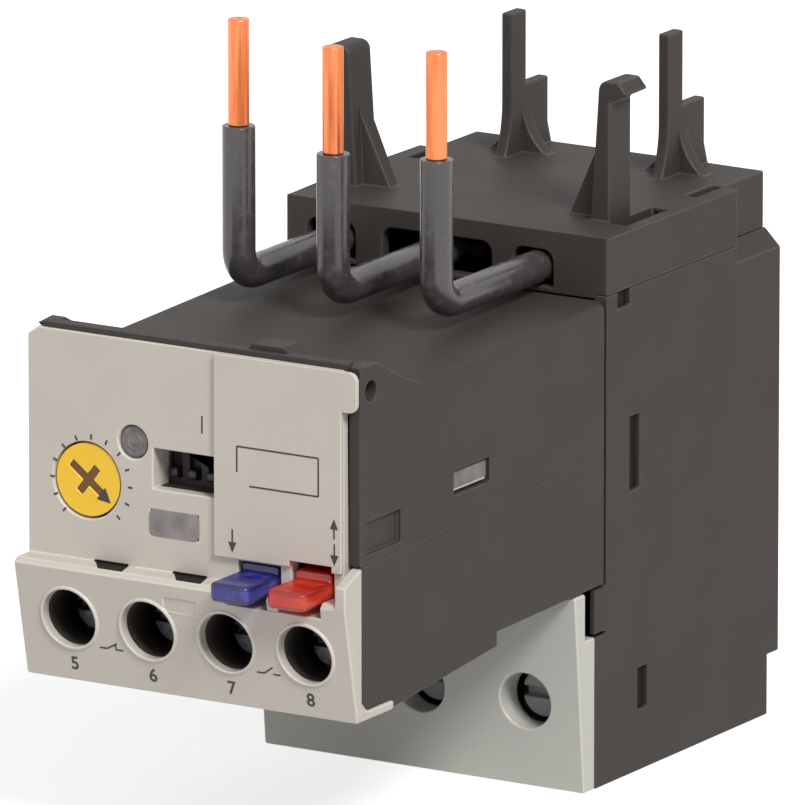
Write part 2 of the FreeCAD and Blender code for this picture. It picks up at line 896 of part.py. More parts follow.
def current_transformer(index, pole):
    body = new_body(f"current_transformer_{index + 1}")
    middle = seam + dims.bar_back_setback + dims.bar_thickness / 2
    low = dims.sensor_level + dims.board
    add(body, "XY", low, low + dims.transformer_height,
        circle(pole, middle, dims.transformer_diameter / 2), circle(pole, middle, dims.transformer_bore / 2))
    wide = dims.transformer_diameter.value / 2
    round_edges(body, dims.transformer_round,
                lambda edge: isinstance(edge.Curve, Part.Circle) and abs(edge.Curve.Radius - wide) < 0.001)


def sensor_board():
    body = new_body("sensor_board")
    front = seam + dims.sensor_setback
    middle = seam + dims.bar_back_setback + dims.bar_thickness / 2
    edge = inner - dims.board_gap
    add(body, "XY", dims.sensor_level, dims.sensor_level + dims.board,
        rectangle(-edge, edge, front, front + dims.sensor_depth),
        *[circle(pole, middle, dims.transformer_bore / 2) for pole in load_poles])


# Front block: upper and lower shells that part on a rising line

def front_upper_shell():
    body = new_body("front_upper_shell")
    ear_front = face + dims.ear_lap
    ear_end = face + dims.ear_run
    rest = dims.label_top + dims.lip / 8
    add(body, "YZ", -half, half, polygon(
        (shell_front, dims.parting_front), (shell_front, rest), (ear_front, rest),
        (ear_front, dims.ear_top), (ear_front + dims.ear_flat, dims.ear_top),
        (ear_front + dims.ear_slope, dims.ear_shoulder), (ear_end, dims.block_top_front),
        (seam, dims.block_top_back), (seam, dims.parting_back)))
    deep = dims.parting_front - dims.wall
    ceiling = dims.block_top_front - dims.wall
    cut(body, "YZ", -inner, inner, polygon(
        (face - past, deep), (face - past, ceiling), (ear_end, ceiling),
        (seam + past, dims.block_top_back - dims.wall), (seam + past, deep)))
    between = half - dims.ear_thickness
    cut(body, "YZ", -between, between,
        rectangle(face - past, ear_end, dims.block_top_front, dims.ear_top + past))
    add(body, "YZ", label_right + dims.fit_gap, half,
        polygon((ear_front, dims.parting_front), (shell_front, dims.parting_front),
                (shell_front + past / 2, dims.parting_front + past), (shell_front + past / 2, rest),
                (ear_front, rest)))
    hole = face + dims.ear_hole_setback
    latch = face + dims.latch_setback
    grip = face + dims.grip_setback
    for side in sides:
        low, high = side_range(side, inner - past / 2, half + past)
        cut(body, "YZ", low, high, circle(hole, dims.ear_hole_level, dims.ear_hole / 2),
            rectangle(latch, latch + dims.latch_length, dims.latch_level,
                      dims.latch_level + dims.latch_height))
        low, high = side_range(side, half - dims.grip_depth, half + past)
        cut(body, "YZ", low, high,
            rectangle(grip, grip + dims.grip_length, dims.grip_level, dims.grip_level + dims.grip_height))
    seam_groove(body, dims.parting_back, dims.block_top_back)
    left = dims.boss_left
    right = dims.boss_left + dims.boss_width
    add(body, "XZ", shell_front, shell_front + dims.boss_depth, polygon(
        (left, ceiling + past / 2), (right, ceiling + past / 2), (right - dims.boss_slope, dims.boss_top),
        (left + dims.boss_slope, dims.boss_top)))


def seam_groove(body, low, high):
    for side in sides:
        near, far = side_range(side, half - dims.groove_depth, half + past)
        cut(body, "YZ", near, far, rectangle(seam - dims.seam_groove, seam + past, low - past, high + past))


def side_strip(back, top):
    """The outline where the lower shell's side comes forward into the panel."""
    lip_top = dims.panel_bottom + dims.lip
    return polygon(
        (side_front, top), (side_front, lip_top + dims.lip_chamfer), (side_front + dims.lip_chamfer, lip_top),
        (back, lip_top), (back, top))


def front_lower_shell():
    body = new_body("front_lower_shell")
    lip_top = dims.panel_bottom + dims.lip
    lip_back = face + dims.lip_depth
    step = seam - dims.step_setback
    add(body, "YZ", -half, half, polygon(
        (shell_front, dims.parting_front), (shell_front, lip_top + dims.lip_chamfer),
        (shell_front + dims.lip_chamfer, lip_top), (lip_back, lip_top), (lip_back, dims.panel_bottom),
        (step, dims.step_front), (step, dims.step_back), (seam, dims.block_heel),
        (seam, dims.parting_back)))
    for side, strip_top in zip(sides, (dims.ledge_top - dims.ledge_bevel, dims.parting_front)):
        near, far = side_range(side, half - dims.side_rebate, half)
        add(body, "YZ", near, far, side_strip(shell_front + dims.lip_chamfer + past / 2, strip_top))
    seam_groove(body, dims.block_heel, dims.parting_back)
    low = dims.step_front + dims.wall
    high = dims.block_heel + dims.wall
    top = dims.parting_back + past
    cut(body, "YZ", -inner, inner, polygon(
        (face - past, low), (step - dims.wall, low), (step - dims.wall, high), (seam + past, high),
        (seam + past, top), (face - past, top)))
    walls = []
    for index in range(3):
        middle = (control_poles[index] + control_poles[index + 1]) / 2
        walls.append(rectangle(middle - dims.barrier / 2, middle + dims.barrier / 2,
                               shell_front, control_rear()))
    add(body, "XY", low - past / 2, dims.divider_height, *walls)
    inside = control_inside()
    spare = (dims.control_entry - dims.control_space) / 2
    cut(body, "XY", dims.panel_bottom - past, low + past / 2, *[
        rectangle(pole - dims.control_entry / 2, pole + dims.control_entry / 2,
                  inside - spare, inside + dims.control_space + spare) for pole in control_poles])
    bosses = []
    for x in sides:
        for y in (seam - dims.main_board_setback, seam - dims.main_board_back):
            bosses.append(circle(x * (inner - dims.bar_width), y, dims.ledge))
    add(body, "XY", high - past / 2, dims.main_board_level, *bosses)


def control_inside():
    """The front of the wire space in the control clamps."""
    return shell_front + dims.control_cage_setback + dims.control_cage_wall


def control_rear():
    return control_inside() + dims.control_space + dims.control_bar


# Front panel: label plate, ledge and terminal wall in one moulding

def front_panel():
    body = new_body("front_panel")
    ledge_front = face - dims.ledge_reach
    lip_top = dims.panel_bottom + dims.lip
    add(body, "YZ", -panel_half, panel_half, polygon(
        (shell_front, dims.ledge_top), (ledge_front + dims.ledge_bevel, dims.ledge_top),
        (ledge_front, dims.ledge_top - dims.ledge_bevel), (face - dims.panel_foot_reach, dims.panel_bottom),
        (face + dims.lip_depth, dims.panel_bottom), (face + dims.lip_depth, lip_top),
        (shell_front + dims.lip_chamfer, lip_top), (shell_front, lip_top + dims.lip_chamfer)))
    round_edges(body, dims.panel_corner, lambda edge: runs_along(edge, "y", z=dims.panel_bottom))
    add(body, "XZ", face, shell_front, polygon(
        (-panel_half, dims.ledge_top - dims.ledge_bevel), (label_right, dims.ledge_top - dims.ledge_bevel),
        (label_right, dims.label_top), (dims.corner_wide - panel_half, dims.label_top),
        (-panel_half, dims.label_top - dims.corner_high)))
    label_openings(body)
    lever_openings(body, ledge_front)
    cut(body, "XZ", ledge_front - past, shell_front + past, *[
        circle(pole, dims.control_level, dims.control_hole / 2) for pole in control_poles])
    add(body, "XZ", ledge_front, side_front, rectangle(
        panel_half - dims.cheek, panel_half, dims.ledge_top - dims.ledge_bevel, dims.parting_front))
    for side, strip_top in zip(sides, (dims.ledge_top - dims.ledge_bevel, dims.parting_front + past)):
        near, far = side_range(side, half - dims.side_rebate, panel_half + past)
        cut(body, "YZ", near, far, side_strip(shell_front + past, strip_top))
        snap_arm(body, side)


def label_openings(body):
    slots = []
    for index in range(2):
        left = index * dims.ledge_slot_step + dims.ledge_slot_margin - panel_half
        slots.append(rectangle(left, left + dims.ledge_slot_width, dims.ledge_top,
                               dims.ledge_top + dims.ledge_slot_height))
    cut(body, "XZ", face - past, shell_front + past,
        circle(dial_x, dims.dial_level, dims.dial_diameter / 2 + dims.dial_gap),
        circle(light_x, dims.light_level, dims.light_diameter / 2 + dims.fit_gap),
        rectangle(setting_left, setting_right, dims.setting_bottom, dims.setting_top),
        rectangle(trip_left, trip_right, dims.trip_window_level,
                  dims.trip_window_level + dims.trip_window_height),
        *slots)
    tag = dims.tag_level
    lean = (dims.ledge_reach - dims.panel_foot_reach) / (dims.ledge_top - dims.panel_bottom)
    rise = dims.ledge_top - dims.ledge_bevel - tag
    surface = face - dims.ledge_reach + lean * rise
    cut(body, "XZ", surface - past, surface + dims.tag_depth,
        rectangle(-dims.tag_left, dims.tag_width - dims.tag_left, tag, tag + dims.tag_height))


def lever_openings(body, ledge_front):
    low = dims.lever_level - dims.reset_travel - dims.lever_gap
    top = dims.lever_level + dims.lever_root + dims.lever_gap
    wide = dims.lever_width / 2 + dims.lever_gap
    left = reset_x - wide
    right = test_x + wide
    cut(body, "XZ", ledge_front - past, face, rectangle(left, right, low, dims.ledge_top + past / 8))
    cut(body, "XZ", face - past / 2, shell_front + past,
        rectangle(left, reset_x + wide, low, top),
        rectangle(test_x - wide, right, low, top + dims.test_travel))


def snap_arm(body, side):
    outside = inner - dims.latch_gap
    low, high = side_range(side, outside - dims.latch_arm, outside)
    start = face + dims.latch_setback + dims.latch_gap
    finish = face + dims.latch_setback + dims.latch_length - dims.latch_gap
    bottom = dims.latch_level + dims.latch_gap
    top = dims.latch_level + dims.latch_height - dims.latch_gap
    add(body, "YZ", low, high, rectangle(shell_front - past / 2, finish, bottom, top))
    low, high = side_range(side, outside - dims.latch_arm / 2, half - dims.latch_sink)
    add(body, "YZ", low, high, rectangle(start, finish, bottom, top))


def option_cover_plate():
    body = new_body("option_cover_plate")
    left = label_right - dims.cover_plate_width
    right = panel_half
    # the lower edge is notched over the test lever, which rises into it
    wide = dims.lever_width / 2 + dims.lever_gap
    notch = dims.lever_level + dims.lever_root + dims.test_travel + dims.lever_gap
    add(body, "XZ", face - dims.cover_plate, face, polygon(
        (left, dims.cover_plate_bottom), (test_x - wide, dims.cover_plate_bottom), (test_x - wide, notch),
        (test_x + wide, notch), (test_x + wide, dims.cover_plate_bottom),
        (label_right, dims.cover_plate_bottom),
        (label_right, dims.cover_ear_level), (right, dims.cover_ear_level),
        (right, dims.label_top), (left, dims.label_top)))
    round_edges(body, dims.cover_ear_corner, lambda edge: runs_along(edge, "y", x=right))


# Controls on the panel

def lever(label, x, reach):
    body = new_body(label)
    tip = face - reach
    top = dims.lever_level + dims.lever_root
    collar = face + dims.lever_sink
    inside = shell_front + dims.lever_inner
    add(body, "YZ", x - dims.lever_width / 2, x + dims.lever_width / 2, polygon(
        (tip, dims.lever_level), (inside, dims.lever_level), (inside, top), (collar, top),
        (collar, dims.lever_level + dims.lever_tip), (tip, dims.lever_level + dims.lever_tip)))
    round_edges(body, dims.lever_round, lambda edge: runs_along(edge, "z", y=tip))
    round_edges(body, dims.collar_round, lambda edge: runs_along(edge, "y", z=top))
    return body


def levers():
    lever("reset_lever", reset_x, dims.reset_reach)
    test = lever("test_lever", test_x, dims.test_reach)
    start, finish = leaf_place()
    middle = dims.lever_level + dims.lever_root / 2
    cut(test, "XZ", start - dims.leaf_gap, finish + past, rectangle(
        test_x - dims.lever_width, test_x + dims.lever_width / 4,
        middle - dims.leaf / 2 - dims.leaf_gap, middle + dims.leaf / 2 + dims.leaf_gap))
    leaf_springs(start, finish, middle)


def leaf_place():
    finish = shell_front + dims.lever_inner
    return finish - dims.leaf_width, finish


def leaf_springs(start, finish, middle):
    seat = (control_poles[2] + control_poles[3]) / 2
    thin = dims.leaf
    low = dims.divider_height
    under = dims.lever_level - dims.leaf_gap
    foot = seat - dims.leaf_foot
    rise = foot - (under - low)
    end = reset_x - dims.lever_width / 2
    body = new_body("reset_leaf_spring")
    add(body, "XZ", start, finish, polygon(
        (seat - thin / 2, low), (seat - thin / 2, low + thin), (foot, low + thin), (rise + thin, under),
        (end, under), (end, under - thin), (rise, under - thin), (foot - thin, low)))
    body = new_body("test_leaf_spring")
    rise = middle - thin / 2
    turn = test_x - dims.lever_width / 2
    add(body, "XZ", start, finish, polygon(
        (seat + thin / 2, low), (seat + thin * 3, low), (turn, rise), (test_x, rise),
        (test_x, rise + thin), (turn - thin, rise + thin), (seat + thin * 2, low + thin),
        (seat + thin / 2, low + thin)))


def current_dial():
    body = new_body("current_dial")
    x = dial_x
    level = dims.dial_level
    front = face + dims.dial_sink
    rear = front + dims.dial_thickness
    add(body, "XZ", front, rear, circle(x, level, dims.dial_diameter / 2))
    add(body, "XZ", front, board_front() - dims.board_gap, circle(x, level, dims.dial_shaft / 2))
    # a cross slot: the long arm points at the highest setting, the short arm lies square to it
    along = Rotation(Vector(0, 0, 1), -dial_rest).multVec(Vector(1, 0, 0))
    across = Vector(-along.y, along.x, 0)
    wide = dims.dial_slot / 2
    for length, way in ((dims.dial_slot_length, along), (dims.dial_cross_length, across)):
        arm = length / 2
        corners = [(x + end * arm * way.x - end * side * wide * way.y,
                    level + end * arm * way.y + end * side * wide * way.x) for end in sides for side in sides]
        cut(body, "XZ", front - past, front + dims.dial_slot_depth, polygon(*corners))


def board_front():
    """The front face of the display board."""
    return face + dims.setting_depth + dims.setting_body_height * 0.67


def display_parts():
    rear = board_front()
    x = dial_x
    reach = dims.dial_diameter / 2 - dims.fit_gap * 3
    case = block(x - reach, x + reach, face + dims.setting_depth, rear, dims.dial_level - reach,
                 dims.dial_level + reach)
    bore = rod("y", dims.dial_shaft / 2 + dims.running_gap, face, rear + past, x=x, z=dims.dial_level)
    node(carve(case, bore), "dial_potentiometer")
    split = face + dims.light_length
    node(rod("y", dims.light_diameter / 2, face, split, x=light_x, z=dims.light_level),
         "status_light_lens")
    node(rod("y", dims.led_diameter / 2, split, rear, x=light_x, z=dims.light_level), "status_led")
    gap = dims.fit_gap
    node(block(trip_left + gap, trip_right - gap, face, shell_front,
               dims.trip_window_level + gap, dims.trip_window_level + dims.trip_window_height - gap),
         "trip_window")
    setting_switch(rear)
    display_board(rear)


def setting_switch(rear):
    middle_x = (setting_left + setting_right) / 2 - dims.slider_shift
    middle = (dims.setting_bottom + dims.setting_top) / 2
    front = face + dims.setting_depth
    root = front + dims.slider_root
    low = middle - (dims.slider_travel + dims.slider_height) / 2
    gap = dims.slider_gap
    body = new_body("dip_switch_body")
    add(body, "XZ", front, rear, rectangle(
        setting_left - dims.setting_body_lap, setting_right + dims.setting_body_lap,
        middle - dims.setting_body_height / 2, middle + dims.setting_body_height / 2))
    tracks = []
    for index in range(4):
        x = middle_x + (index - 1.5) * dims.slider_pitch
        left = x - dims.slider_width / 2
        right = x + dims.slider_width / 2
        tracks.append(rectangle(left - gap, right + gap, low - gap,
                                low + dims.slider_travel + dims.slider_height + gap))
        node(block(left, right, front - dims.slider_reach, root - gap, low, low + dims.slider_height),
             f"dip_slider_{index + 1}")
    cut(body, "XZ", front - past, root, *tracks)


def display_board(rear):
    body = new_body("display_board")
    edge = inner - dims.latch_gap * 2 - dims.latch_arm
    top = dims.block_top_front - dims.wall - dims.board_gap
    split = (light_x + setting_left) / 2
    high = dims.setting_bottom - dims.ledge
    add(body, "XZ", rear, rear + dims.board, polygon(
        (-edge, dims.parting_back), (split, dims.parting_back), (split, high), (edge, high),
        (edge, top), (-edge, top)))


# Control terminals: one pair for each contact of the trip relay

def contact_place():
    """The back face of the front contact bars."""
    return control_rear()


def control_terminals():
    inside = control_inside()
    rear = control_rear()
    level = dims.control_level
    thread = dims.control_thread / 2
    wall = dims.control_cage_wall
    node(group(*[
        box_clamp(pole, level, dims.control_cage_width, dims.control_cage_height, wall, wall, inside,
                  rear, thread + dims.fit_gap) for pole in control_poles]), "control_clamps")
    head_back = inside - wall - dims.control_neck
    node(group(*[
        clamp_screw(pole, level, thread, dims.control_head / 2, inside, head_back,
                    head_back - dims.control_head_height, dims.control_neck) for pole in control_poles]),
         "control_screws")
    for index, pole in enumerate(control_poles):
        control_bar(index, pole, rear)


def control_bar(index, pole, rear):
    bottom = dims.step_front + dims.wall + dims.control_bar_lift
    front = rear - dims.control_bar
    level = dims.contact_level
    top = level + dims.contact_height
    body = new_body(f"control_bar_{index + 1}")
    low = pole - dims.control_bar_width / 2
    high = pole + dims.control_bar_width / 2
    button = circle(pole, level, dims.button_diameter / 2)
    if index < 2:
        add(body, "YZ", low, high, rectangle(front, rear, bottom, top))
        add(body, "XZ", rear - dims.control_bar / 2, rear + dims.button_height, button)
        return
    far = carrier_rear() + dims.bridge + dims.contact_travel + dims.contact_gap + dims.button_height
    over = top + dims.control_bar
    low_end = level - dims.contact_height / 2
    add(body, "YZ", low, high, polygon(
        (front, bottom), (rear, bottom), (rear, over), (far, over), (far, low_end),
        (far + dims.control_bar, low_end), (far + dims.control_bar, over + dims.control_bar),
        (front, over + dims.control_bar)))
    add(body, "XZ", far - dims.button_height, far + dims.control_bar / 2, button)


def carrier_front():
    return contact_place() + dims.button_height + dims.contact_gap + dims.bridge


def carrier_rear():
    return carrier_front() + dims.carrier_depth


# Trip relay: coil, yoke and armature, which moves the contact carrier and the flag

def bridge(label, poles, front):
    low = dims.contact_level - dims.contact_height / 2
    node(block(poles[0] - dims.bridge_overhang, poles[1] + dims.bridge_overhang, front, front + dims.bridge,
               low, low + dims.contact_height), label)


def pivot_place():
    return seam - dims.label_depth + dims.plate + dims.relay_setback


def contact_carrier():
    front = carrier_front()
    rear = carrier_rear()
    bridge("nc_bridge", control_poles[:2], front - dims.bridge)
    bridge("no_bridge", control_poles[2:], rear)
    low = dims.contact_level - dims.contact_height / 2
    high = low + dims.contact_height
    over = dims.bridge_overhang
    body = new_body("contact_carrier")
    add(body, "XY", low, high, rectangle(control_poles[0] - over, control_poles[3] + over, front, rear))
    arm = dims.carrier_arm_width / 2
    pivot = pivot_place()
    reach = pivot + dims.armature / 2 + dims.tongue_play
    add(body, "XY", low, dims.contact_level, rectangle(-arm, arm, rear - past / 2, reach + dims.armature))
    play = dims.tongue_play
    wide = dims.armature_tongue / 2 + play
    cut(body, "XY", low - past, dims.contact_level + past,
        rectangle(-wide, wide, pivot - dims.armature / 2 - play, reach))
    wedge_front, wedge_top = wedge_place()
    run = dims.wedge_run
    foot = wedge_top - run - dims.flag_arm
    wedge = dims.flag_arm_width / 2
    add(body, "YZ", flag_x - wedge, flag_x + wedge, polygon(
        (wedge_front, foot), (wedge_front, wedge_top), (wedge_front + run, wedge_top - run),
        (front, wedge_top - run), (front, low), (front, low + past / 2), (rear, low + past / 2),
        (rear, foot)))


def wedge_place():
    """The top of the slope on the carrier that lifts the flag."""
    return shell_front + dims.wedge_setback - dims.wedge_run, dims.flag_level - dims.wedge_gap


def trip_flag():
    body = new_body("trip_flag")
    front = shell_front + dims.flag_gap
    low = dims.flag_level
    add(body, "XZ", front, front + dims.flag, rectangle(
        trip_left + dims.lever_gap, trip_right - dims.lever_gap, low, low + dims.flag_height))
    start, height = wedge_place()
    run = dims.wedge_run - dims.wedge_gap * 2
    arm = dims.flag_arm_width / 2
    add(body, "YZ", flag_x - arm, flag_x + arm, polygon(
        (front + dims.flag / 2, low), (start, low), (start + run, low - run),
        (start + run, low + dims.flag_arm),
        (front + dims.flag / 2, low + dims.flag_arm)))


def relay():
    pivot = pivot_place()
    level = dims.pivot_level
    pin = dims.pivot_diameter / 2
    wide = dims.yoke_width / 2
    plate = dims.armature_width / 2
    thick = dims.armature / 2
    bottom = level - dims.armature_drop
    tip = dims.contact_level - dims.contact_height / 2 - dims.fit_gap
    tongue = dims.armature_tongue / 2
    node(join(
        rod("x", pin, -wide, wide, y=pivot, z=level),
        rod("x", dims.pivot_barrel / 2, -plate, plate, y=pivot, z=level),
        block(-plate, plate, pivot - thick, pivot + thick, bottom, level),
        block(-tongue, tongue, pivot - thick, pivot + thick, tip, bottom + past / 2)), "armature")
    pole_face = pivot + thick + dims.core_gap
    yoke_back = pivot + dims.yoke_depth
    core = dims.core_diameter / 2
    node(rod("y", core, pole_face, yoke_back, z=dims.core_level), "relay_core")
    top = level + dims.yoke
    ear = dims.pivot_barrel / 2
    leg_front = pivot + ear + dims.tongue_play
    cheek = plate + dims.tongue_play
    parts = [block(-wide, wide, leg_front, yoke_back + dims.yoke, level, top),
             block(-wide, wide, yoke_back, yoke_back + dims.yoke, bottom, top),
             block(-dims.yoke_foot / 2, dims.yoke_foot / 2, yoke_back, yoke_back + dims.yoke,
                   dims.main_board_level + dims.board, bottom + past)]
    for side in sides:
        low, high = side_range(side, cheek, wide)
        parts.append(block(low, high, pivot - ear, leg_front + past, level - ear, top))
    bearing = rod("x", pin + dims.running_gap, -wide - past, wide + past, y=pivot, z=level)
    node(carve(join(*parts), bearing), "relay_yoke")
    bobbin(pole_face, yoke_back, core)


def bobbin(pole_face, yoke_back, core):
    body = new_body("relay_bobbin")
    level = dims.core_level
    bore = core + dims.fit_gap
    tube = bore + dims.bobbin_wall
    flange = dims.bobbin_flange / 2
    front = pole_face + dims.bobbin_wall
    rear = yoke_back - dims.fit_gap
    add(body, "XZ", front, rear, circle(0, level, tube), circle(0, level, bore))
    for start, finish in ((front, front + dims.bobbin_wall), (rear - dims.bobbin_wall, rear)):
        add(body, "XZ", start, finish, circle(0, level, flange), circle(0, level, bore))
    coil = new_body("relay_winding")
    gap = dims.fit_gap
    add(coil, "XZ", front + dims.bobbin_wall + gap, rear - dims.bobbin_wall - gap,
        circle(0, level, dims.winding_diameter / 2), circle(0, level, tube + gap))


def main_board():
    low = dims.main_board_level
    edge = inner - dims.board_gap
    front = seam - dims.main_board_setback - dims.ledge
    rear = seam - dims.main_board_back + dims.ledge
    node(block(-edge, edge, front, rear, low, low + dims.board), "main_board")
    radius = dims.capacitor_diameter / 2
    side = inner - dims.ledge - radius
    middle = (front + rear) / 2
    length = dims.capacitor_length / 2
    node(rod("y", radius, middle - length, middle + length, x=side, z=low + dims.board + radius),
         "storage_capacitor")
    body = new_body("board_link")
    thin = dims.ribbon
    start = rear - dims.bar_width
    finish = seam + dims.sensor_setback + dims.ledge
    from_level = low + dims.board
    to_level = dims.sensor_level + dims.board
    drop = dims.ledge
    add(body, "YZ", -dims.ribbon_width / 2, dims.ribbon_width / 2, polygon(
        (start, from_level), (rear, from_level), (finish - drop, to_level), (finish, to_level),
        (finish, to_level + thin), (finish - drop - thin, to_level + thin), (rear - thin, from_level + thin),
        (start, from_level + thin)))


rear_housing()
top_cap()
lead(0, dims.lead_reach_left, lead_level + dims.lead_tip_left)
lead(1, dims.lead_reach_middle, lead_level + dims.lead_tip_middle)
lead(2, dims.lead_reach_right, lead_level + dims.lead_tip_right)
load_terminal_cover()
load_terminals()
sensor_board()
front_upper_shell()
front_lower_shell()
front_panel()
option_cover_plate()
levers()
current_dial()
display_parts()
control_terminals()
contact_carrier()
trip_flag()
relay()
main_board()
doc.recompute()

for item in doc.Objects:
    if "Invalid" in item.State or "Error" in item.State:
        raise RuntimeError(f"{item.Name} ({item.Label}) failed: {item.State}")
for label, item in nodes.items():
    if item.Shape.isNull() or not item.Shape.isValid():
        raise RuntimeError(f"{label} has no valid shape")

os.makedirs("parts", exist_ok=True)
for label, item in nodes.items():
    item.Shape.exportStep(f"parts/{label}.step")
print(len(nodes), "pieces written")
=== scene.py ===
import math

import bmesh
import bpy
from mathutils import Matrix, Vector


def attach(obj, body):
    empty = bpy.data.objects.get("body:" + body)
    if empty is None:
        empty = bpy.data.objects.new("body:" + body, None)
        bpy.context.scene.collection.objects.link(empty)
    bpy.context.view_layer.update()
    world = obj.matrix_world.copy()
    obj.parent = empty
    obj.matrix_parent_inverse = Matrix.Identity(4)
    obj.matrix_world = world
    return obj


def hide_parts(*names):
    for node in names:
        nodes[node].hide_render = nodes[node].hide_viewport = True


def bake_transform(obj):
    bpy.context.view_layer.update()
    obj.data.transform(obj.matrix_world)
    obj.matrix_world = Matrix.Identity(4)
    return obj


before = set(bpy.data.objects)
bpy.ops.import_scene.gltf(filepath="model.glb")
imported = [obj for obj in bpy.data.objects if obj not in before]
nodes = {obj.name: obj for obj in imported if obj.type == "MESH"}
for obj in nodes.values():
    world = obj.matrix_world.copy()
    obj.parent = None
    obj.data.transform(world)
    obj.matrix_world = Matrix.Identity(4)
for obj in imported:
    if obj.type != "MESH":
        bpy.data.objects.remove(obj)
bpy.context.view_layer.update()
stageSet = bpy.context.scene.collection
mm = 0.001
closeBy = 1e-7   # points this near to each other, in metres, count as one
print("frame loaded,", len(nodes), "CAD nodes")


# Small helpers

def linear(hexText):
    channels = [int(hexText[index:index + 2], 16) / 255 for index in (1, 3, 5)]
    return tuple(c / 12.92 if c <= 0.04045 else ((c + 0.055) / 1.055) ** 2.4 for c in channels) + (1.0,)


def perMetre(sizeMm):
    return 1 / (sizeMm * mm)   # texture scale for a pattern of that size on Object coordinates


def addNode(tree, kind, settings=None, inputs=None):
    node = tree.nodes.new(kind)
    for name, value in (settings or {}).items():
        setattr(node, name, value)
    for name, value in (inputs or {}).items():
        socket = node.inputs[name]
        if isinstance(value, bpy.types.NodeSocket):
            tree.links.new(value, socket)
        else:
            socket.default_value = value
    return node


def startMaterial(name, **shaderInputs):
    material = bpy.data.materials.new(name)
    material.use_nodes = True
    tree = material.node_tree
    tree.nodes.clear()
    shader = addNode(tree, "ShaderNodeBsdfPrincipled", inputs=shaderInputs)
    addNode(tree, "ShaderNodeOutputMaterial", inputs={"Surface": shader.outputs["BSDF"]})
    place = addNode(tree, "ShaderNodeTexCoord").outputs["Object"]
    return material, tree, shader, place


def feed(tree, shader, **sources):
    for name, source in sources.items():
        tree.links.new(source, shader.inputs[name.replace("_", " ")])


def looseObject(name, content):
    item = bpy.data.objects.new(name, content)
    stageSet.objects.link(item)
    return item


def newPiece(name, mesh, body, slotName, *standsFor):
    piece = looseObject(name, mesh)
    if body:
        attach(piece, body)
    if standsFor:
        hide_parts(*standsFor)
    return piece


def evaluatedMesh(item):
    view = bpy.context.evaluated_depsgraph_get()
    shown = item.evaluated_get(view)
    return bpy.data.meshes.new_from_object(shown, preserve_all_data_layers=True, depsgraph=view)


def meshFrom(cage, name, finishName):
    mesh = bpy.data.meshes.new(name)
    bmesh.ops.recalc_face_normals(cage, faces=cage.faces)
    cage.to_mesh(mesh)
    cage.free()
    mesh.materials.append(finishes[finishName])
    return mesh


# Materials, each from what the real one is and how its surface was made

noiseSpan = {"From Min": 0.3, "From Max": 0.7}   # most of a noise lies in this span


def mouldedPlastic(name, colour, grainMm, grainDepthMm, roughness,
                   cloud=0.06, specular=0.5, fleck=0.05, driftMm=9, shineDrift=0.05):
    # the mould's grain stands in the surface, and the colour drifts a little across it
    material, tree, shader, place = startMaterial(name, **{"IOR": 1.5, "Specular IOR Level": specular})
    drift = addNode(tree, "ShaderNodeTexNoise", inputs={
        "Vector": place, "Scale": perMetre(driftMm), "Detail": 3.0})
    grain = addNode(tree, "ShaderNodeTexNoise", inputs={
        "Vector": place, "Scale": perMetre(grainMm), "Detail": 2.0, "Roughness": 0.6})
    tone = addNode(tree, "ShaderNodeMapRange", inputs={
        "Value": drift.outputs["Fac"], **noiseSpan, "To Min": 1 - cloud, "To Max": 1 + cloud})
    speck = addNode(tree, "ShaderNodeMapRange", inputs={
        "Value": grain.outputs["Fac"], **noiseSpan, "To Min": 1 - fleck, "To Max": 1 + fleck})
    both = addNode(tree, "ShaderNodeMath", {"operation": "MULTIPLY"},
                   {0: tone.outputs["Result"], 1: speck.outputs["Result"]})
    tint = addNode(tree, "ShaderNodeVectorMath", {"operation": "SCALE"},
                   {0: linear(colour)[:3], "Scale": both.outputs["Value"]})
    shine = addNode(tree, "ShaderNodeMapRange", inputs={
        "Value": drift.outputs["Fac"], **noiseSpan,
        "To Min": roughness - shineDrift, "To Max": roughness + shineDrift})
    bump = addNode(tree, "ShaderNodeBump", inputs={
        "Height": grain.outputs["Fac"], "Strength": 0.35, "Distance": grainDepthMm * mm})
    feed(tree, shader, Base_Color=tint.outputs["Vector"], Roughness=shine.outputs["Result"],
         Normal=bump.outputs["Normal"])
    return material


def tintedPolycarbonate(name, colour, pale, glow):
    # clear plastic with dye in it: light passes through, paler patches show inside, faces stay glossy
    material, tree, shader, place = startMaterial(name, **{
        "IOR": 1.58, "Transmission Weight": 0.3, "Subsurface Weight": glow, "Subsurface Scale": 2 * mm})
    flow = addNode(tree, "ShaderNodeTexNoise", inputs={
        "Vector": place, "Scale": perMetre(2.6), "Detail": 2.0, "Distortion": 0.4})
    share = addNode(tree, "ShaderNodeMapRange", inputs={
        "Value": flow.outputs["Fac"], "From Min": 0.45, "From Max": 0.85})
    tint = addNode(tree, "ShaderNodeMix", {"data_type": "RGBA"}, {
        "Factor": share.outputs["Result"], "A": linear(colour), "B": linear(pale)})
    shine = addNode(tree, "ShaderNodeMapRange", inputs={
        "Value": flow.outputs["Fac"], **noiseSpan, "To Min": 0.12, "To Max": 0.28})
    feed(tree, shader, Base_Color=tint.outputs["Result"], Roughness=shine.outputs["Result"])
    return material


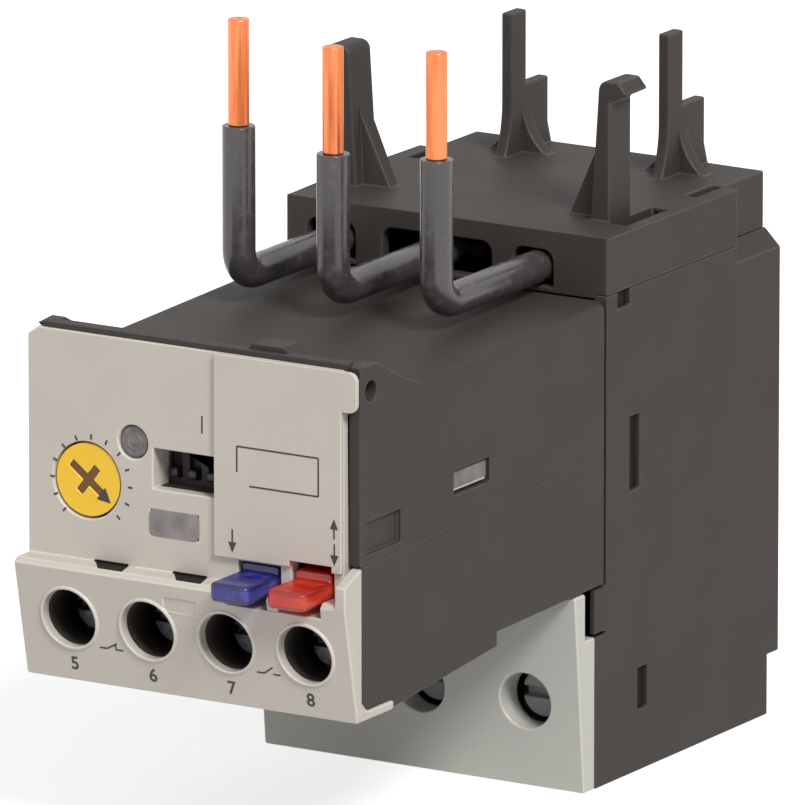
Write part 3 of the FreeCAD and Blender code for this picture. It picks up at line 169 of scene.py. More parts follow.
def smokedLens(name, colour, cloudMm):
    # frosted acrylic: soft grey with a faint cloud, satin on its face
    material, tree, shader, place = startMaterial(name, **{
        "IOR": 1.49, "Transmission Weight": 0.12, "Specular IOR Level": 0.4, "Roughness": 0.42})
    cloud = addNode(tree, "ShaderNodeTexNoise", inputs={
        "Vector": place, "Scale": perMetre(cloudMm), "Detail": 2.0})
    tone = addNode(tree, "ShaderNodeMapRange", inputs={
        "Value": cloud.outputs["Fac"], **noiseSpan, "To Min": 0.75, "To Max": 1.25})
    tint = addNode(tree, "ShaderNodeVectorMath", {"operation": "SCALE"},
                   {0: linear(colour)[:3], "Scale": tone.outputs["Result"]})
    frost = addNode(tree, "ShaderNodeTexNoise", inputs={"Vector": place, "Scale": perMetre(0.3)})
    bump = addNode(tree, "ShaderNodeBump", inputs={
        "Height": frost.outputs["Fac"], "Strength": 0.2, "Distance": 0.02 * mm})
    feed(tree, shader, Base_Color=tint.outputs["Vector"], Normal=bump.outputs["Normal"])
    return material


def drawnMetal(name, colour, dark, streakMm, stretch, roughness,
               mix=(0.35, 0.75), stainGrow=3, smoother=0.08, rougher=0.1):
    # drawn or rolled metal: fine lines along one way, with darker stains between them
    material, tree, shader, place = startMaterial(name, **{"Metallic": 1.0})
    along = addNode(tree, "ShaderNodeMapping", inputs={"Vector": place, "Scale": stretch})
    lines = addNode(tree, "ShaderNodeTexNoise", inputs={
        "Vector": along.outputs["Vector"], "Scale": perMetre(streakMm), "Detail": 4.0, "Roughness": 0.6})
    stain = addNode(tree, "ShaderNodeTexNoise", inputs={
        "Vector": along.outputs["Vector"], "Scale": perMetre(streakMm * stainGrow), "Detail": 3.0})
    share = addNode(tree, "ShaderNodeMapRange", inputs={
        "Value": stain.outputs["Fac"], "From Min": mix[0], "From Max": mix[1]})
    tint = addNode(tree, "ShaderNodeMix", {"data_type": "RGBA"}, {
        "Factor": share.outputs["Result"], "A": linear(colour), "B": linear(dark)})
    shine = addNode(tree, "ShaderNodeMapRange", inputs={
        "Value": lines.outputs["Fac"], **noiseSpan,
        "To Min": roughness - smoother, "To Max": roughness + rougher})
    bump = addNode(tree, "ShaderNodeBump", inputs={
        "Height": lines.outputs["Fac"], "Strength": 0.3, "Distance": 0.02 * mm})
    feed(tree, shader, Base_Color=tint.outputs["Result"], Roughness=shine.outputs["Result"],
         Normal=bump.outputs["Normal"])
    return material


def extrudedSleeve():
    # PVC drawn over the wire: glossy black with faint dusty scuffs
    material, tree, shader, place = startMaterial("pvcSleeveExtruded", **{
        "IOR": 1.53, "Specular IOR Level": 0.7})
    scuff = addNode(tree, "ShaderNodeTexNoise", inputs={
        "Vector": place, "Scale": perMetre(1.3), "Detail": 3.0})
    share = addNode(tree, "ShaderNodeMapRange", inputs={
        "Value": scuff.outputs["Fac"], "From Min": 0.55, "From Max": 0.85})
    tint = addNode(tree, "ShaderNodeMix", {"data_type": "RGBA"}, {
        "Factor": share.outputs["Result"], "A": linear("#474242"), "B": linear("#625c5b")})
    shine = addNode(tree, "ShaderNodeMapRange", inputs={
        "Value": scuff.outputs["Fac"], **noiseSpan, "To Min": 0.18, "To Max": 0.34})
    bump = addNode(tree, "ShaderNodeBump", inputs={
        "Height": scuff.outputs["Fac"], "Strength": 0.15, "Distance": 0.04 * mm})
    feed(tree, shader, Base_Color=tint.outputs["Result"], Roughness=shine.outputs["Result"],
         Normal=bump.outputs["Normal"])
    return material


def printedInk(name, colour):
    # screen print: flat dark ink, a little thin in places
    material, tree, shader, place = startMaterial(name, **{"IOR": 1.5, "Roughness": 0.55})
    thin = addNode(tree, "ShaderNodeTexNoise", inputs={
        "Vector": place, "Scale": perMetre(0.35), "Detail": 2.0})
    tone = addNode(tree, "ShaderNodeMapRange", inputs={
        "Value": thin.outputs["Fac"], **noiseSpan, "To Min": 0.8, "To Max": 1.3})
    tint = addNode(tree, "ShaderNodeVectorMath", {"operation": "SCALE"},
                   {0: linear(colour)[:3], "Scale": tone.outputs["Result"]})
    feed(tree, shader, Base_Color=tint.outputs["Vector"])
    return material


def wovenLaminate():
    # glass cloth in green epoxy: a fine square weave under the lacquer
    material, tree, shader, place = startMaterial("epoxyGlassLaminate", **{"IOR": 1.52, "Roughness": 0.4})
    weave = addNode(tree, "ShaderNodeTexChecker", inputs={
        "Vector": place, "Scale": perMetre(0.6), "Color1": linear("#1f5a35"), "Color2": linear("#276b40")})
    feed(tree, shader, Base_Color=weave.outputs["Color"])
    return material


def flatRibbon():
    # ribbon cable: grey strands side by side
    material, tree, shader, place = startMaterial("pvcRibbonExtruded", **{"IOR": 1.53, "Roughness": 0.45})
    waveRadians = 20   # a wave texture of scale 1 runs through this many radians in a unit of length
    strands = addNode(tree, "ShaderNodeTexWave", {"bands_direction": "X"}, {
        "Vector": place, "Scale": perMetre(1.27) / waveRadians, "Distortion": 0.0})
    tint = addNode(tree, "ShaderNodeMix", {"data_type": "RGBA"}, {
        "Factor": strands.outputs["Fac"], "A": linear("#6f7073"), "B": linear("#a2a3a5")})
    feed(tree, shader, Base_Color=tint.outputs["Result"])
    return material


finishes = {
    # glass-filled polyamide from a spark-eroded mould: dark warm grey, matte, with a fine even grain
    "dark": mouldedPlastic("polyamideDarkMoulded", "#3e3936", 0.3, 0.04, 0.62, specular=0.25),
    # its rounded edges take a paler copy: a painted highlight
    "darkEdgeHighlight": mouldedPlastic("polyamideDarkPaintedEdgeHighlight", "#46413d", 0.3, 0.02, 0.5, specular=0.3),
    # ABS from a fine mould: warm pale grey with a soft sheen
    "light": mouldedPlastic("absPaleGreyMoulded", "#cdc5bb", 0.35, 0.01, 0.5,
                            cloud=0.02, specular=0.4, fleck=0.012),
    # its rounded edges and the terminal hole collars take a paler copy: a painted highlight
    "lightEdgeHighlight": mouldedPlastic("absPaleGreyPaintedEdgeHighlight", "#d6cfc6", 0.35, 0.01, 0.42,
                                cloud=0.02, fleck=0.01),
    # polycarbonate blend of the cover: cooler grey, smooth
    "cover": mouldedPlastic("polycarbonateGreyMoulded", "#c8c7bf", 0.4, 0.01, 0.45,
                            cloud=0.02, fleck=0.012),
    # its rounded edges take a paler copy: a painted highlight
    "coverEdgeHighlight": mouldedPlastic("polycarbonateGreyPaintedEdgeHighlight", "#d2cec4", 0.4, 0.01, 0.4,
                                cloud=0.02, fleck=0.01),
    # acetal dial: saturated yellow, smooth
    "yellow": mouldedPlastic("acetalYellowMoulded", "#ffcd3c", 0.5, 0.01, 0.4,
                             cloud=0.03, specular=0.35, fleck=0.01),
    # its rounded edges take a paler copy: a painted highlight
    "yellowEdgeHighlight": mouldedPlastic("acetalYellowPaintedEdgeHighlight", "#ffd65c", 0.5, 0.01, 0.34,
                                 cloud=0.03, fleck=0.01),
    # skin of the clipped tab in its window: grey and half clear
    "tab": smokedLens("polycarbonateTabMoulded", "#767270", 1.6),
    # dyed levers: deep blue and bright red; their rounded edges and collars take a darker copy, a painted
    # shade
    "blue": tintedPolycarbonate("polycarbonateBlueMoulded", "#2f2b94", "#5c66c6", 0.15),
    "blueEdgeShade": tintedPolycarbonate("polycarbonateBluePaintedEdgeShade", "#1f1b62", "#2d2a7c", 0.1),
    "red": tintedPolycarbonate("polycarbonateRedMoulded", "#e6301f", "#f5593c", 0.15),
    "redEdgeShade": tintedPolycarbonate("polycarbonateRedPaintedEdgeShade", "#b52016", "#d23523", 0.1),
    # smoked lens and pane: grey, dull until something lights up behind them
    "lens": smokedLens("acrylicSmokedMoulded", "#7d7573", 1.0),
    "window": smokedLens("acrylicWindowMoulded", "#948c8b", 2.4),
    # bright drawn copper of the leads, and the bars inside darkened to near black: painted shade where they
    # show through the lead windows
    "copper": drawnMetal("copperDrawn", "#f99664", "#b4531f", 0.25, (1.0, 1.0, 0.05), 0.34,
                         mix=(0.42, 0.82)),
    "busbar": drawnMetal("copperRolledPaintedShade", "#3a2a22", "#221812", 0.3, (1.0, 1.0, 0.1), 0.5),
    # stamped and plated pieces of the terminals and the trip relay
    "brass": drawnMetal("brassStamped", "#d9b05f", "#a67d3a", 0.3, (1.0, 1.0, 0.2), 0.36),
    "steel": drawnMetal("steelZincPlated", "#c4c6c8", "#8f9294", 0.3, (1.0, 0.2, 1.0), 0.34),
    "screw": drawnMetal("steelClearPassivated", "#8a8a8c", "#555558", 0.3, (1.0, 0.2, 1.0), 0.38),
    # phosphated screw heads: dull grey that takes no bright reflection
    "loadScrew": mouldedPlastic("steelPhosphated", "#a3a3a6", 0.4, 0.02, 0.6, cloud=0.12, specular=0.3),
    "sleeve": extrudedSleeve(),
    "ink": printedInk("inkScreenPrinted", "#37312e"),
    # brown fill of the dial's cross slot: painted shade of the slot's walls
    "slotShade": printedInk("paintedSlotShadeBrown", "#6a4417"),
    # nylon and phenolic of the small inside parts
    "black": mouldedPlastic("nylonBlackMoulded", "#2b2725", 0.3, 0.03, 0.42),
    # dark liner of the terminal chambers: painted shade deep in the holes
    "shade": mouldedPlastic("paintedShadeTerminalChamber", "#2f2a27", 0.3, 0.02, 0.6, specular=0.15),
    "switchBody": mouldedPlastic("phenolicBrownBlackMoulded", "#332d2b", 0.3, 0.02, 0.5, specular=0.3),
    # black plates set into slots and openings: painted shade where the slots are deep
    "paintedShadeBlind": mouldedPlastic("paintedShadeBlindBlack", "#1b1817", 0.3, 0.02, 0.6, specular=0.15),
    "slider": mouldedPlastic("nylonBrownBlackMoulded", "#262220", 0.3, 0.02, 0.4),
    "white": mouldedPlastic("nylonWhiteMoulded", "#dfdcd5", 0.3, 0.02, 0.4, cloud=0.03),
    "orange": mouldedPlastic("nylonOrangeMoulded", "#ef7a1f", 0.3, 0.02, 0.4, cloud=0.04),
    # cast resins: glossy dark potting and a dyed lamp body
    "potting": mouldedPlastic("epoxyPottingCast", "#23211f", 0.8, 0.03, 0.35),
    "lamp": tintedPolycarbonate("epoxyRedLampCast", "#8f1d1d", "#a83030", 0.1),
    "board": wovenLaminate(),
    "ribbon": flatRibbon(),
    "winding": drawnMetal("copperWireEnamelled", "#b5562a", "#7d3415", 0.3, (1.0, 12.0, 1.0), 0.35),
}
print("materials made:", len(finishes))


# The terminal wall slopes, and its holes and foot follow the real moulding

holeRow = {"count": 4, "firstX": -15.65, "pitch": 10.7, "level": 28.1, "sides": 64,
           "wallTop": (-48.0, 34.2), "wallFoot": (-45.2, 20.3), "wallRoom": 0.06,
           "cadRadius": 3.2, "radius": 3.55, "frontDepth": 2.0,
           "collar": [(3.57, 0.3), (3.57, -0.12), (3.65, -0.24), (3.82, -0.24), (4.0, -0.08), (4.06, 0.3)],
           "chamber": [(3.46, 1.1), (3.46, 5.5), (3.54, 5.5), (3.54, 1.1)]}
lean = (holeRow["wallTop"][0] - holeRow["wallFoot"][0]) / (holeRow["wallTop"][1] - holeRow["wallFoot"][1])
footFacts = {"centre": (20.9, 21.9), "round": 1.6, "edge": 0.005,
             "lipFront": -42.8, "lipTop": 21.1, "lipRise": 0.25}
pocketFacts = {"left": -2.8, "tuckedLeft": -2.35, "right": 1.9, "low": 30.6, "raisedLow": 30.88,
               "high": 32.6, "room": 0.1}
cheekFacts = {"inside": 21.0, "front": -48.0, "top": 38.5, "loweredTop": 37.0}
earFacts = {"side": -22.1, "front": -42.8, "low": 61.0, "tuckedSide": -21.6}
shoulderFacts = {"side": 22.1, "low": 57.0, "shortest": 15, "upward": 0.7, "round": 0.9, "steps": 4}


def wallY(z):
    return holeRow["wallFoot"][0] + lean * (z - holeRow["wallFoot"][1])   # the wall's front at a level


def holeX(index):
    return holeRow["firstX"] + index * holeRow["pitch"]


def near(size, target, room=0.03):
    return abs(size - target) < room


def reshapePanel(cage):
    for vert in cage.verts:
        x, y, z = (size / mm for size in vert.co)
        newX, newZ = x, z
        across, up = abs(x) - footFacts["centre"][0], z - footFacts["centre"][1]
        onCorner = across > footFacts["edge"] and up < -footFacts["edge"]
        if onCorner and near(math.hypot(across, up), footFacts["round"]):
            grow = footFacts["round"] / max(across, -up)   # the rounded lower corners become square
            newX = math.copysign(footFacts["centre"][0] + across * grow, x)
            newZ = footFacts["centre"][1] + up * grow
        if y > footFacts["lipFront"] and near(z, footFacts["lipTop"]) and across > 0:
            newZ = footFacts["lipTop"] + footFacts["lipRise"]
        atLeft, atRight = near(x, pocketFacts["left"]), near(x, pocketFacts["right"])
        lowest, highest = pocketFacts["low"] - pocketFacts["room"], pocketFacts["high"] + pocketFacts["room"]
        if atLeft and lowest < z < highest:
            newX = pocketFacts["tuckedLeft"]
        if (atLeft or atRight) and near(z, pocketFacts["low"]):
            newZ = pocketFacts["raisedLow"]   # clear of the hole beside it
        for index in range(holeRow["count"]):
            fromX, fromZ = x - holeX(index), z - holeRow["level"]
            if near(math.hypot(fromX, fromZ), holeRow["cadRadius"]):
                grow = holeRow["radius"] / holeRow["cadRadius"]
                newX, newZ = holeX(index) + fromX * grow, holeRow["level"] + fromZ * grow
        if x > cheekFacts["inside"] and near(y, cheekFacts["front"]) and near(z, cheekFacts["top"]):
            newZ = cheekFacts["loweredTop"]
        onSlope = near(y, wallY(z), holeRow["wallRoom"])
        vert.co = (newX * mm, (y + lean * (newZ - z) if onSlope else y) * mm, newZ * mm)


def reshapeUpperShell(cage):
    for vert in cage.verts:   # the left ear starts at the label's cut corner
        x, y, z = (size / mm for size in vert.co)
        if near(x, earFacts["side"]) and y < earFacts["front"] and z > earFacts["low"]:
            vert.co.x = earFacts["tuckedSide"] * mm
    cage.normal_update()
    shoulders = []
    for edge in cage.edges:
        onSide = all(near(abs(vert.co.x) / mm, shoulderFacts["side"]) for vert in edge.verts)
        high = all(vert.co.z / mm > shoulderFacts["low"] for vert in edge.verts)
        faceUp = any(face.normal.z > shoulderFacts["upward"] for face in edge.link_faces)
        if onSide and high and faceUp and edge.calc_length() / mm > shoulderFacts["shortest"]:
            shoulders.append(edge)
    bmesh.ops.bevel(cage, geom=shoulders, offset=shoulderFacts["round"] * mm,
                    segments=shoulderFacts["steps"], profile=0.5, affect="EDGES", clamp_overlap=True)
    print("rounded shoulders:", len(shoulders))


reshapes = {"front_panel": reshapePanel, "front_upper_shell": reshapeUpperShell}


# Moulded pieces: each CAD shape with its edges rounded as a mould leaves them, the rounded faces in a paler
# painted highlight (a darker painted shade on the levers)

mouldings = {
    # node: body, slot, finish, edge finish (a paler painted highlight, on the levers a darker painted
    # shade), edge radius in mm
    "rear_housing": ("case", "dark_plastic", "dark", "darkEdgeHighlight", 0.16),
    "top_cap": ("case", "dark_plastic", "dark", "darkEdgeHighlight", 0.26),
    "front_upper_shell": ("case", "dark_plastic", "dark", "darkEdgeHighlight", 0.16),
    "front_lower_shell": ("case", "dark_plastic", "dark", "darkEdgeHighlight", 0.16),
    "front_panel": ("case", "light_plastic", "light", "lightEdgeHighlight", 0.2),
    "option_cover_plate": ("case", "light_plastic", "light", "lightEdgeHighlight", 0.12),
    "load_terminal_cover": ("case", "grey_plastic", "cover", "coverEdgeHighlight", 0.3),
    "reset_lever": ("reset", "blue_plastic", "blue", "blueEdgeShade", 0.5),
    "test_lever": ("test", "red_plastic", "red", "redEdgeShade", 0.5),
    "current_dial": ("dial", "yellow_plastic", "yellow", "yellowEdgeHighlight", 0.12),
    "dip_switch_body": ("case", "black_plastic", "switchBody", "switchBody", 0.1),
    "load_screws": ("case", "steel", "loadScrew", "loadScrew", 0.2),
    "control_screws": ("case", "steel", "screw", "screw", 0.2),
}
sliderCount, leadCount = 4, 3
for number in range(1, sliderCount + 1):
    mouldings[f"dip_slider_{number}"] = (f"slider_{number}", "white_plastic", "slider", "slider", 0.3)
for number in range(1, leadCount + 1):
    mouldings[f"lead_conductor_{number}"] = ("case", "copper", "copper", "copper", 0.12)
    mouldings[f"lead_insulation_{number}"] = ("case", "sleeve", "sleeve", "sleeve", 0.15)
mouldRule = {"mergeMm": 0.002, "flatDegrees": 0.6, "edgeDegrees": 38, "creaseDegrees": 3, "flatArea": 30e-6,
             "steps": 2, "sleeveEndMm": 0.05, "sleeveLiftMm": 0.27, "leverSteps": 4, "leverCollarMm": 36.6}


def mouldedCopy(nodeName, body, slotName, finish, paintedEdgeShading, radiusMm):
    mesh = nodes[nodeName].data.copy()
    cage = bmesh.new()
    cage.from_mesh(mesh)
    bmesh.ops.remove_doubles(cage, verts=cage.verts, dist=mouldRule["mergeMm"] * mm)
    bmesh.ops.dissolve_limit(cage, angle_limit=math.radians(mouldRule["flatDegrees"]),
                             verts=cage.verts, edges=cage.edges)
    if slotName == "sleeve":
        top = max(vert.co.z for vert in cage.verts)   # the sleeve's cut end meets the bare copper
        for vert in cage.verts:
            if vert.co.z > top - mouldRule["sleeveEndMm"] * mm:
                vert.co.z += mouldRule["sleeveLiftMm"] * mm
    if nodeName in reshapes:
        reshapes[nodeName](cage)
    isLever = nodeName.endswith("_lever")
    for face in cage.faces:
        face.smooth = True
        onCollar = isLever and face.calc_center_median().z > mouldRule["leverCollarMm"] * mm
        face.material_index = int(onCollar)   # a lever's collar lies in shade and looks darker
    for edge in cage.edges:
        turn = math.degrees(edge.calc_face_angle(0))
        large = all(face.calc_area() > mouldRule["flatArea"] for face in edge.link_faces)
        if large and mouldRule["creaseDegrees"] < turn < mouldRule["edgeDegrees"]:
            edge.smooth = False   # two large flats meet in a plain line
    cage.to_mesh(mesh)
    cage.free()
    mesh.materials.clear()
    mesh.materials.append(finishes[finish])
    mesh.materials.append(finishes[paintedEdgeShading])
    blank = looseObject(nodeName + "_blank", mesh)
    soften = blank.modifiers.new("edges", "BEVEL")
    soften.width = radiusMm * mm
    soften.segments = mouldRule["leverSteps" if isLever else "steps"]
    soften.limit_method = "ANGLE"
    soften.angle_limit = math.radians(mouldRule["edgeDegrees"])
    soften.use_clamp_overlap = False
    # the rounded edges take the second material: a paler painted highlight, and on the levers a darker
    # painted shade
    soften.material = 1
    level = blank.modifiers.new("flats", "WEIGHTED_NORMAL")
    level.keep_sharp = True
    finished = evaluatedMesh(blank)
    bpy.data.objects.remove(blank)
    return newPiece(nodeName + "_moulded", finished, body, slotName, nodeName)


for nodeName, facts in mouldings.items():
    mouldedCopy(nodeName, *facts)
print("moulded pieces:", len(mouldings))

# Leaf springs: each gets a rounded steel copy with its transform baked in
leafSprings = {
    # node: body of the lever, where the bend starts and ends along X in mm
    "reset_leaf_spring": ("reset", 9.8, 9.1),
    "test_leaf_spring": ("test", 12.0, 13.3),
}
leafRound = 0.04
for nodeName, (leverBody, bendStart, bendEnd) in leafSprings.items():
    leaf = mouldedCopy(nodeName, None, "steel", "steel", "steel", leafRound)
    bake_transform(leaf)
print("leaf springs made:", len(leafSprings))


# CAD nodes that keep their own shape get their real finish

nodeFinishes = {
    "steel": ["load_clamps", "relay_yoke", "relay_core", "armature", "control_clamps"],
    "busbar": ["phase_busbar_1", "phase_busbar_2", "phase_busbar_3"],
    "potting": ["current_transformer_1", "current_transformer_2", "current_transformer_3"],
    "board": ["sensor_board", "display_board", "main_board"],
    "lamp": ["status_led"],
    "black": ["dial_potentiometer", "storage_capacitor", "relay_bobbin"],
    "brass": ["control_bar_1", "control_bar_2", "control_bar_3", "control_bar_4", "nc_bridge", "no_bridge"],
    "white": ["contact_carrier"],
    "orange": ["trip_flag"],
    "winding": ["relay_winding"],
    "ribbon": ["board_link"],
}
for finish, names in nodeFinishes.items():
    for name in names:
        mesh = nodes[name].data
        mesh.materials.clear()
        mesh.materials.append(finishes[finish])
print("CAD nodes finished:", sum(len(names) for names in nodeFinishes.values()))


# Turned pieces: a profile of (radius, depth) points in mm, spun about the Y axis

def joinRings(cage, first, second):
    sides = max(len(first), len(second))
    for step in range(sides):
        after = (step + 1) % sides
        corners = [first[step % len(first)], first[after % len(first)],
                   second[after % len(second)], second[step % len(second)]]
        unique = list(dict.fromkeys(corners))   # a ring of one point gives triangles
        if len(unique) > 2:
            cage.faces.new(unique)


def turned(name, profile, sides, finishName):
    cage = bmesh.new()
    rings = []
    for radius, depth in profile:
        if radius == 0:
            rings.append([cage.verts.new((0, depth * mm, 0))])
            continue
        reach = radius * mm
        turns = [2 * math.pi * step / sides for step in range(sides)]
        rings.append([cage.verts.new((reach * math.cos(turn), depth * mm, reach * math.sin(turn)))
                      for turn in turns])
    for first, second in zip(rings, rings[1:] + rings[:1]):
        joinRings(cage, first, second)
    mesh = meshFrom(cage, name, finishName)
    for face in mesh.polygons:
        face.use_smooth = True
    return mesh


# One Geometry Nodes tree lays out everything that repeats in a row or a fan

def rowTree():
    tree = bpy.data.node_groups.new("repeatedRow", "GeometryNodeTree")
    sockets = {}
    for name, kind in (("Source", "Object"), ("Count", "Int"), ("Start", "Vector"), ("Step", "Vector"),
                       ("First Turn", "Float"), ("Turn", "Float"), ("Finish", "Material")):
        socket = tree.interface.new_socket(name, in_out="INPUT", socket_type="NodeSocket" + kind)
        sockets[name] = socket.identifier
    tree.interface.new_socket("Geometry", in_out="OUTPUT", socket_type="NodeSocketGeometry")
    given = addNode(tree, "NodeGroupInput").outputs
    line = addNode(tree, "GeometryNodeMeshLine", inputs={
        "Count": given["Count"], "Start Location": given["Start"], "Offset": given["Step"]})
    order = addNode(tree, "GeometryNodeInputIndex")
    angle = addNode(tree, "ShaderNodeMath", {"operation": "MULTIPLY_ADD"}, {
        0: order.outputs["Index"], 1: given["Turn"], 2: given["First Turn"]})
    about = addNode(tree, "ShaderNodeCombineXYZ", inputs={"Y": angle.outputs["Value"]})
    shape = addNode(tree, "GeometryNodeObjectInfo", inputs={"Object": given["Source"]})
    laid = addNode(tree, "GeometryNodeInstanceOnPoints", inputs={
        "Points": line.outputs["Mesh"], "Instance": shape.outputs["Geometry"],
        "Rotation": about.outputs["Vector"]})
    real = addNode(tree, "GeometryNodeRealizeInstances", inputs={"Geometry": laid.outputs["Instances"]})
    done = addNode(tree, "GeometryNodeSetMaterial", inputs={
        "Geometry": real.outputs["Geometry"], "Material": given["Finish"]})
    addNode(tree, "NodeGroupOutput", inputs={"Geometry": done.outputs["Geometry"]})
    return tree, sockets


repeatTree, repeatSockets = rowTree()


def repeated(name, sourceMesh, finishName, count, startMm, stepMm=(0, 0, 0), firstTurn=0.0, turn=0.0):
    source = looseObject(name + "_source", sourceMesh)
    carrier = looseObject(name + "_row", bpy.data.meshes.new(name))
    row = carrier.modifiers.new("row", "NODES")
    row.node_group = repeatTree
    settings = {"Source": source, "Count": count, "Finish": finishes[finishName],
                "Start": [size * mm for size in startMm], "Step": [size * mm for size in stepMm],
                "First Turn": math.radians(firstTurn), "Turn": math.radians(turn)}
    for key, value in settings.items():
        row[repeatSockets[key]] = value
    mesh = evaluatedMesh(carrier)
    bpy.data.objects.remove(carrier)
    bpy.data.objects.remove(source)
    return mesh


# Terminal holes: pale collars on the sloped wall, and dark chambers behind it, a painted shade deep in the
# holes
rings = {
    # name: profile, finish, slot
    # the collars take the paler edge material, a painted highlight
    "terminalCollars": ("collar", "lightEdgeHighlight", "light_plastic"),
    "terminalChambers": ("chamber", "shade", "black_plastic"),
}
for name, (profile, finish, slotName) in rings.items():
    ring = turned(name + "Ring", holeRow[profile], holeRow["sides"], finish)
    for vert in ring.vertices:
        if vert.co.y < holeRow["frontDepth"] * mm:
            vert.co.y += lean * vert.co.z   # the front follows the sloped wall
    firstPlace = (holeX(0), wallY(holeRow["level"]), holeRow["level"])
    mesh = repeated(name, ring, finish, holeRow["count"], firstPlace, (holeRow["pitch"], 0, 0))
    newPiece(name, mesh, "case", slotName)

# Load cover holes: each runs on inwards as a sleeve of the cover
loadRow = {"count": 3, "firstX": -14.6, "pitch": 14.6, "level": 10.5, "sides": 64,
           "sleeve": [(3.42, 8.4), (3.42, 9.3), (4.0, 9.3), (4.0, 8.4)]}
sleeveRing = turned("coverSleeveRing", loadRow["sleeve"], loadRow["sides"], "cover")
sleeveMesh = repeated("coverSleeves", sleeveRing, "cover", loadRow["count"],
                      (loadRow["firstX"], 0, loadRow["level"]), (loadRow["pitch"], 0, 0))
newPiece("coverSleeves", sleeveMesh, "case", "grey_plastic")
print("terminal holes dressed")


# Panel fittings: lens, trip pane, setting window walls, small blocks and profiles

def deepen(cage, outline, startMm, endMm, axis=1):
    rims = []
    for depth in (startMm, endMm):
        corners = [(*place[:axis], depth, *place[axis:]) for place in outline]
        rims.append([cage.verts.new([size * mm for size in corner]) for corner in corners])
    start, end = rims
    cage.faces.new(start[::-1])
    cage.faces.new(end)
    joinRings(cage, start, end)


def softBlocks(name, ends, finishName, softMm):
    cage = bmesh.new()
    for low, high in ends:
        for vert in bmesh.ops.create_cube(cage, size=1)["verts"]:
            vert.co = [(low, high)[vert.co[axis] > 0][axis] * mm for axis in range(3)]
    bmesh.ops.bevel(cage, geom=cage.edges[:], offset=softMm * mm, segments=2, profile=0.5, affect="EDGES")
    return meshFrom(cage, name, finishName)


def roundedOutline(low, high, radius, steps=6):
    left, right = low[0] + radius, high[0] - radius
    bottom, top = low[1] + radius, high[1] - radius
    outline = []
    for x, z, start in ((right, top, 0), (left, top, 90), (left, bottom, 180), (right, bottom, 270)):
        for step in range(steps + 1):
            turn = math.radians(start + 90 * step / steps)
            outline.append((x + radius * math.cos(turn), z + radius * math.sin(turn)))
    return outline


# the lens has two shallow grooves round its middle
lensFacts = {"x": -8.15, "z": 49.65, "sides": 64,
             "profile": [(0, -44.5), (0.5, -44.5), (0.6, -44.42), (0.7, -44.5),
                         (1.1, -44.5), (1.2, -44.42), (1.3, -44.5),
                         (1.7, -44.48), (1.9, -44.36), (1.95, -44.2), (1.95, -39.0), (0, -39.0)]}
lensMesh = turned("lens", lensFacts["profile"], lensFacts["sides"], "lens")
lensMesh.transform(Matrix.Translation((lensFacts["x"] * mm, 0, lensFacts["z"] * mm)))
newPiece("indicatorLens", lensMesh, "case", "grey_lens", "status_light_lens")

paneFacts = {"low": (-5.95, 38.9), "high": (0.86, 42.1), "front": -44.88, "back": -43.0,
             "round": 0.8, "soft": 0.06}
paneCage = bmesh.new()
paneOutline = roundedOutline(paneFacts["low"], paneFacts["high"], paneFacts["round"])
deepen(paneCage, paneOutline, paneFacts["front"], paneFacts["back"])
paneCage.normal_update()   # the rim's rounding follows the faces' directions
paneRim = [edge for edge in paneCage.edges
           if all(abs(vert.co.y - paneFacts["front"] * mm) < closeBy for vert in edge.verts)]
bmesh.ops.bevel(paneCage, geom=paneRim, offset=paneFacts["soft"] * mm, segments=3, profile=0.5,
                affect="EDGES")
newPiece("tripPane", meshFrom(paneCage, "tripPane", "window"), "case", "grey_lens", "trip_window")

# the setting window's pale walls run back to the switch
wallsFacts = {"low": (-5.4, 44.5), "high": (4.6, 49.3), "wall": 0.35, "front": -43.02, "back": -41.3}
wallsCage = bmesh.new()
wallLoops = []
for grow, depth in ((0, "front"), (0, "back"), (wallsFacts["wall"], "back"), (wallsFacts["wall"], "front")):
    left, bottom = (size - grow for size in wallsFacts["low"])
    right, top = (size + grow for size in wallsFacts["high"])
    wallLoops.append([wallsCage.verts.new((x * mm, wallsFacts[depth] * mm, z * mm))
                      for x, z in ((left, bottom), (right, bottom), (right, top), (left, top))])
for first, second in zip(wallLoops, wallLoops[1:] + wallLoops[:1]):
    joinRings(wallsCage, first, second)
newPiece("settingWindowWalls", meshFrom(wallsCage, "settingWindowWalls", "light"), "case", "light_plastic")


def bothSides(*slots):
    ends = []
    for low, high in slots:
        ends += [(low, high), ((-high[0], *low[1:]), (-low[0], *high[1:]))]
    return ends


def alongLedge(points):
    # the two ledge slots lie one control terminal apart
    return [[(x + shift, *others) for x, *others in points] for shift in (0, holeRow["pitch"])]


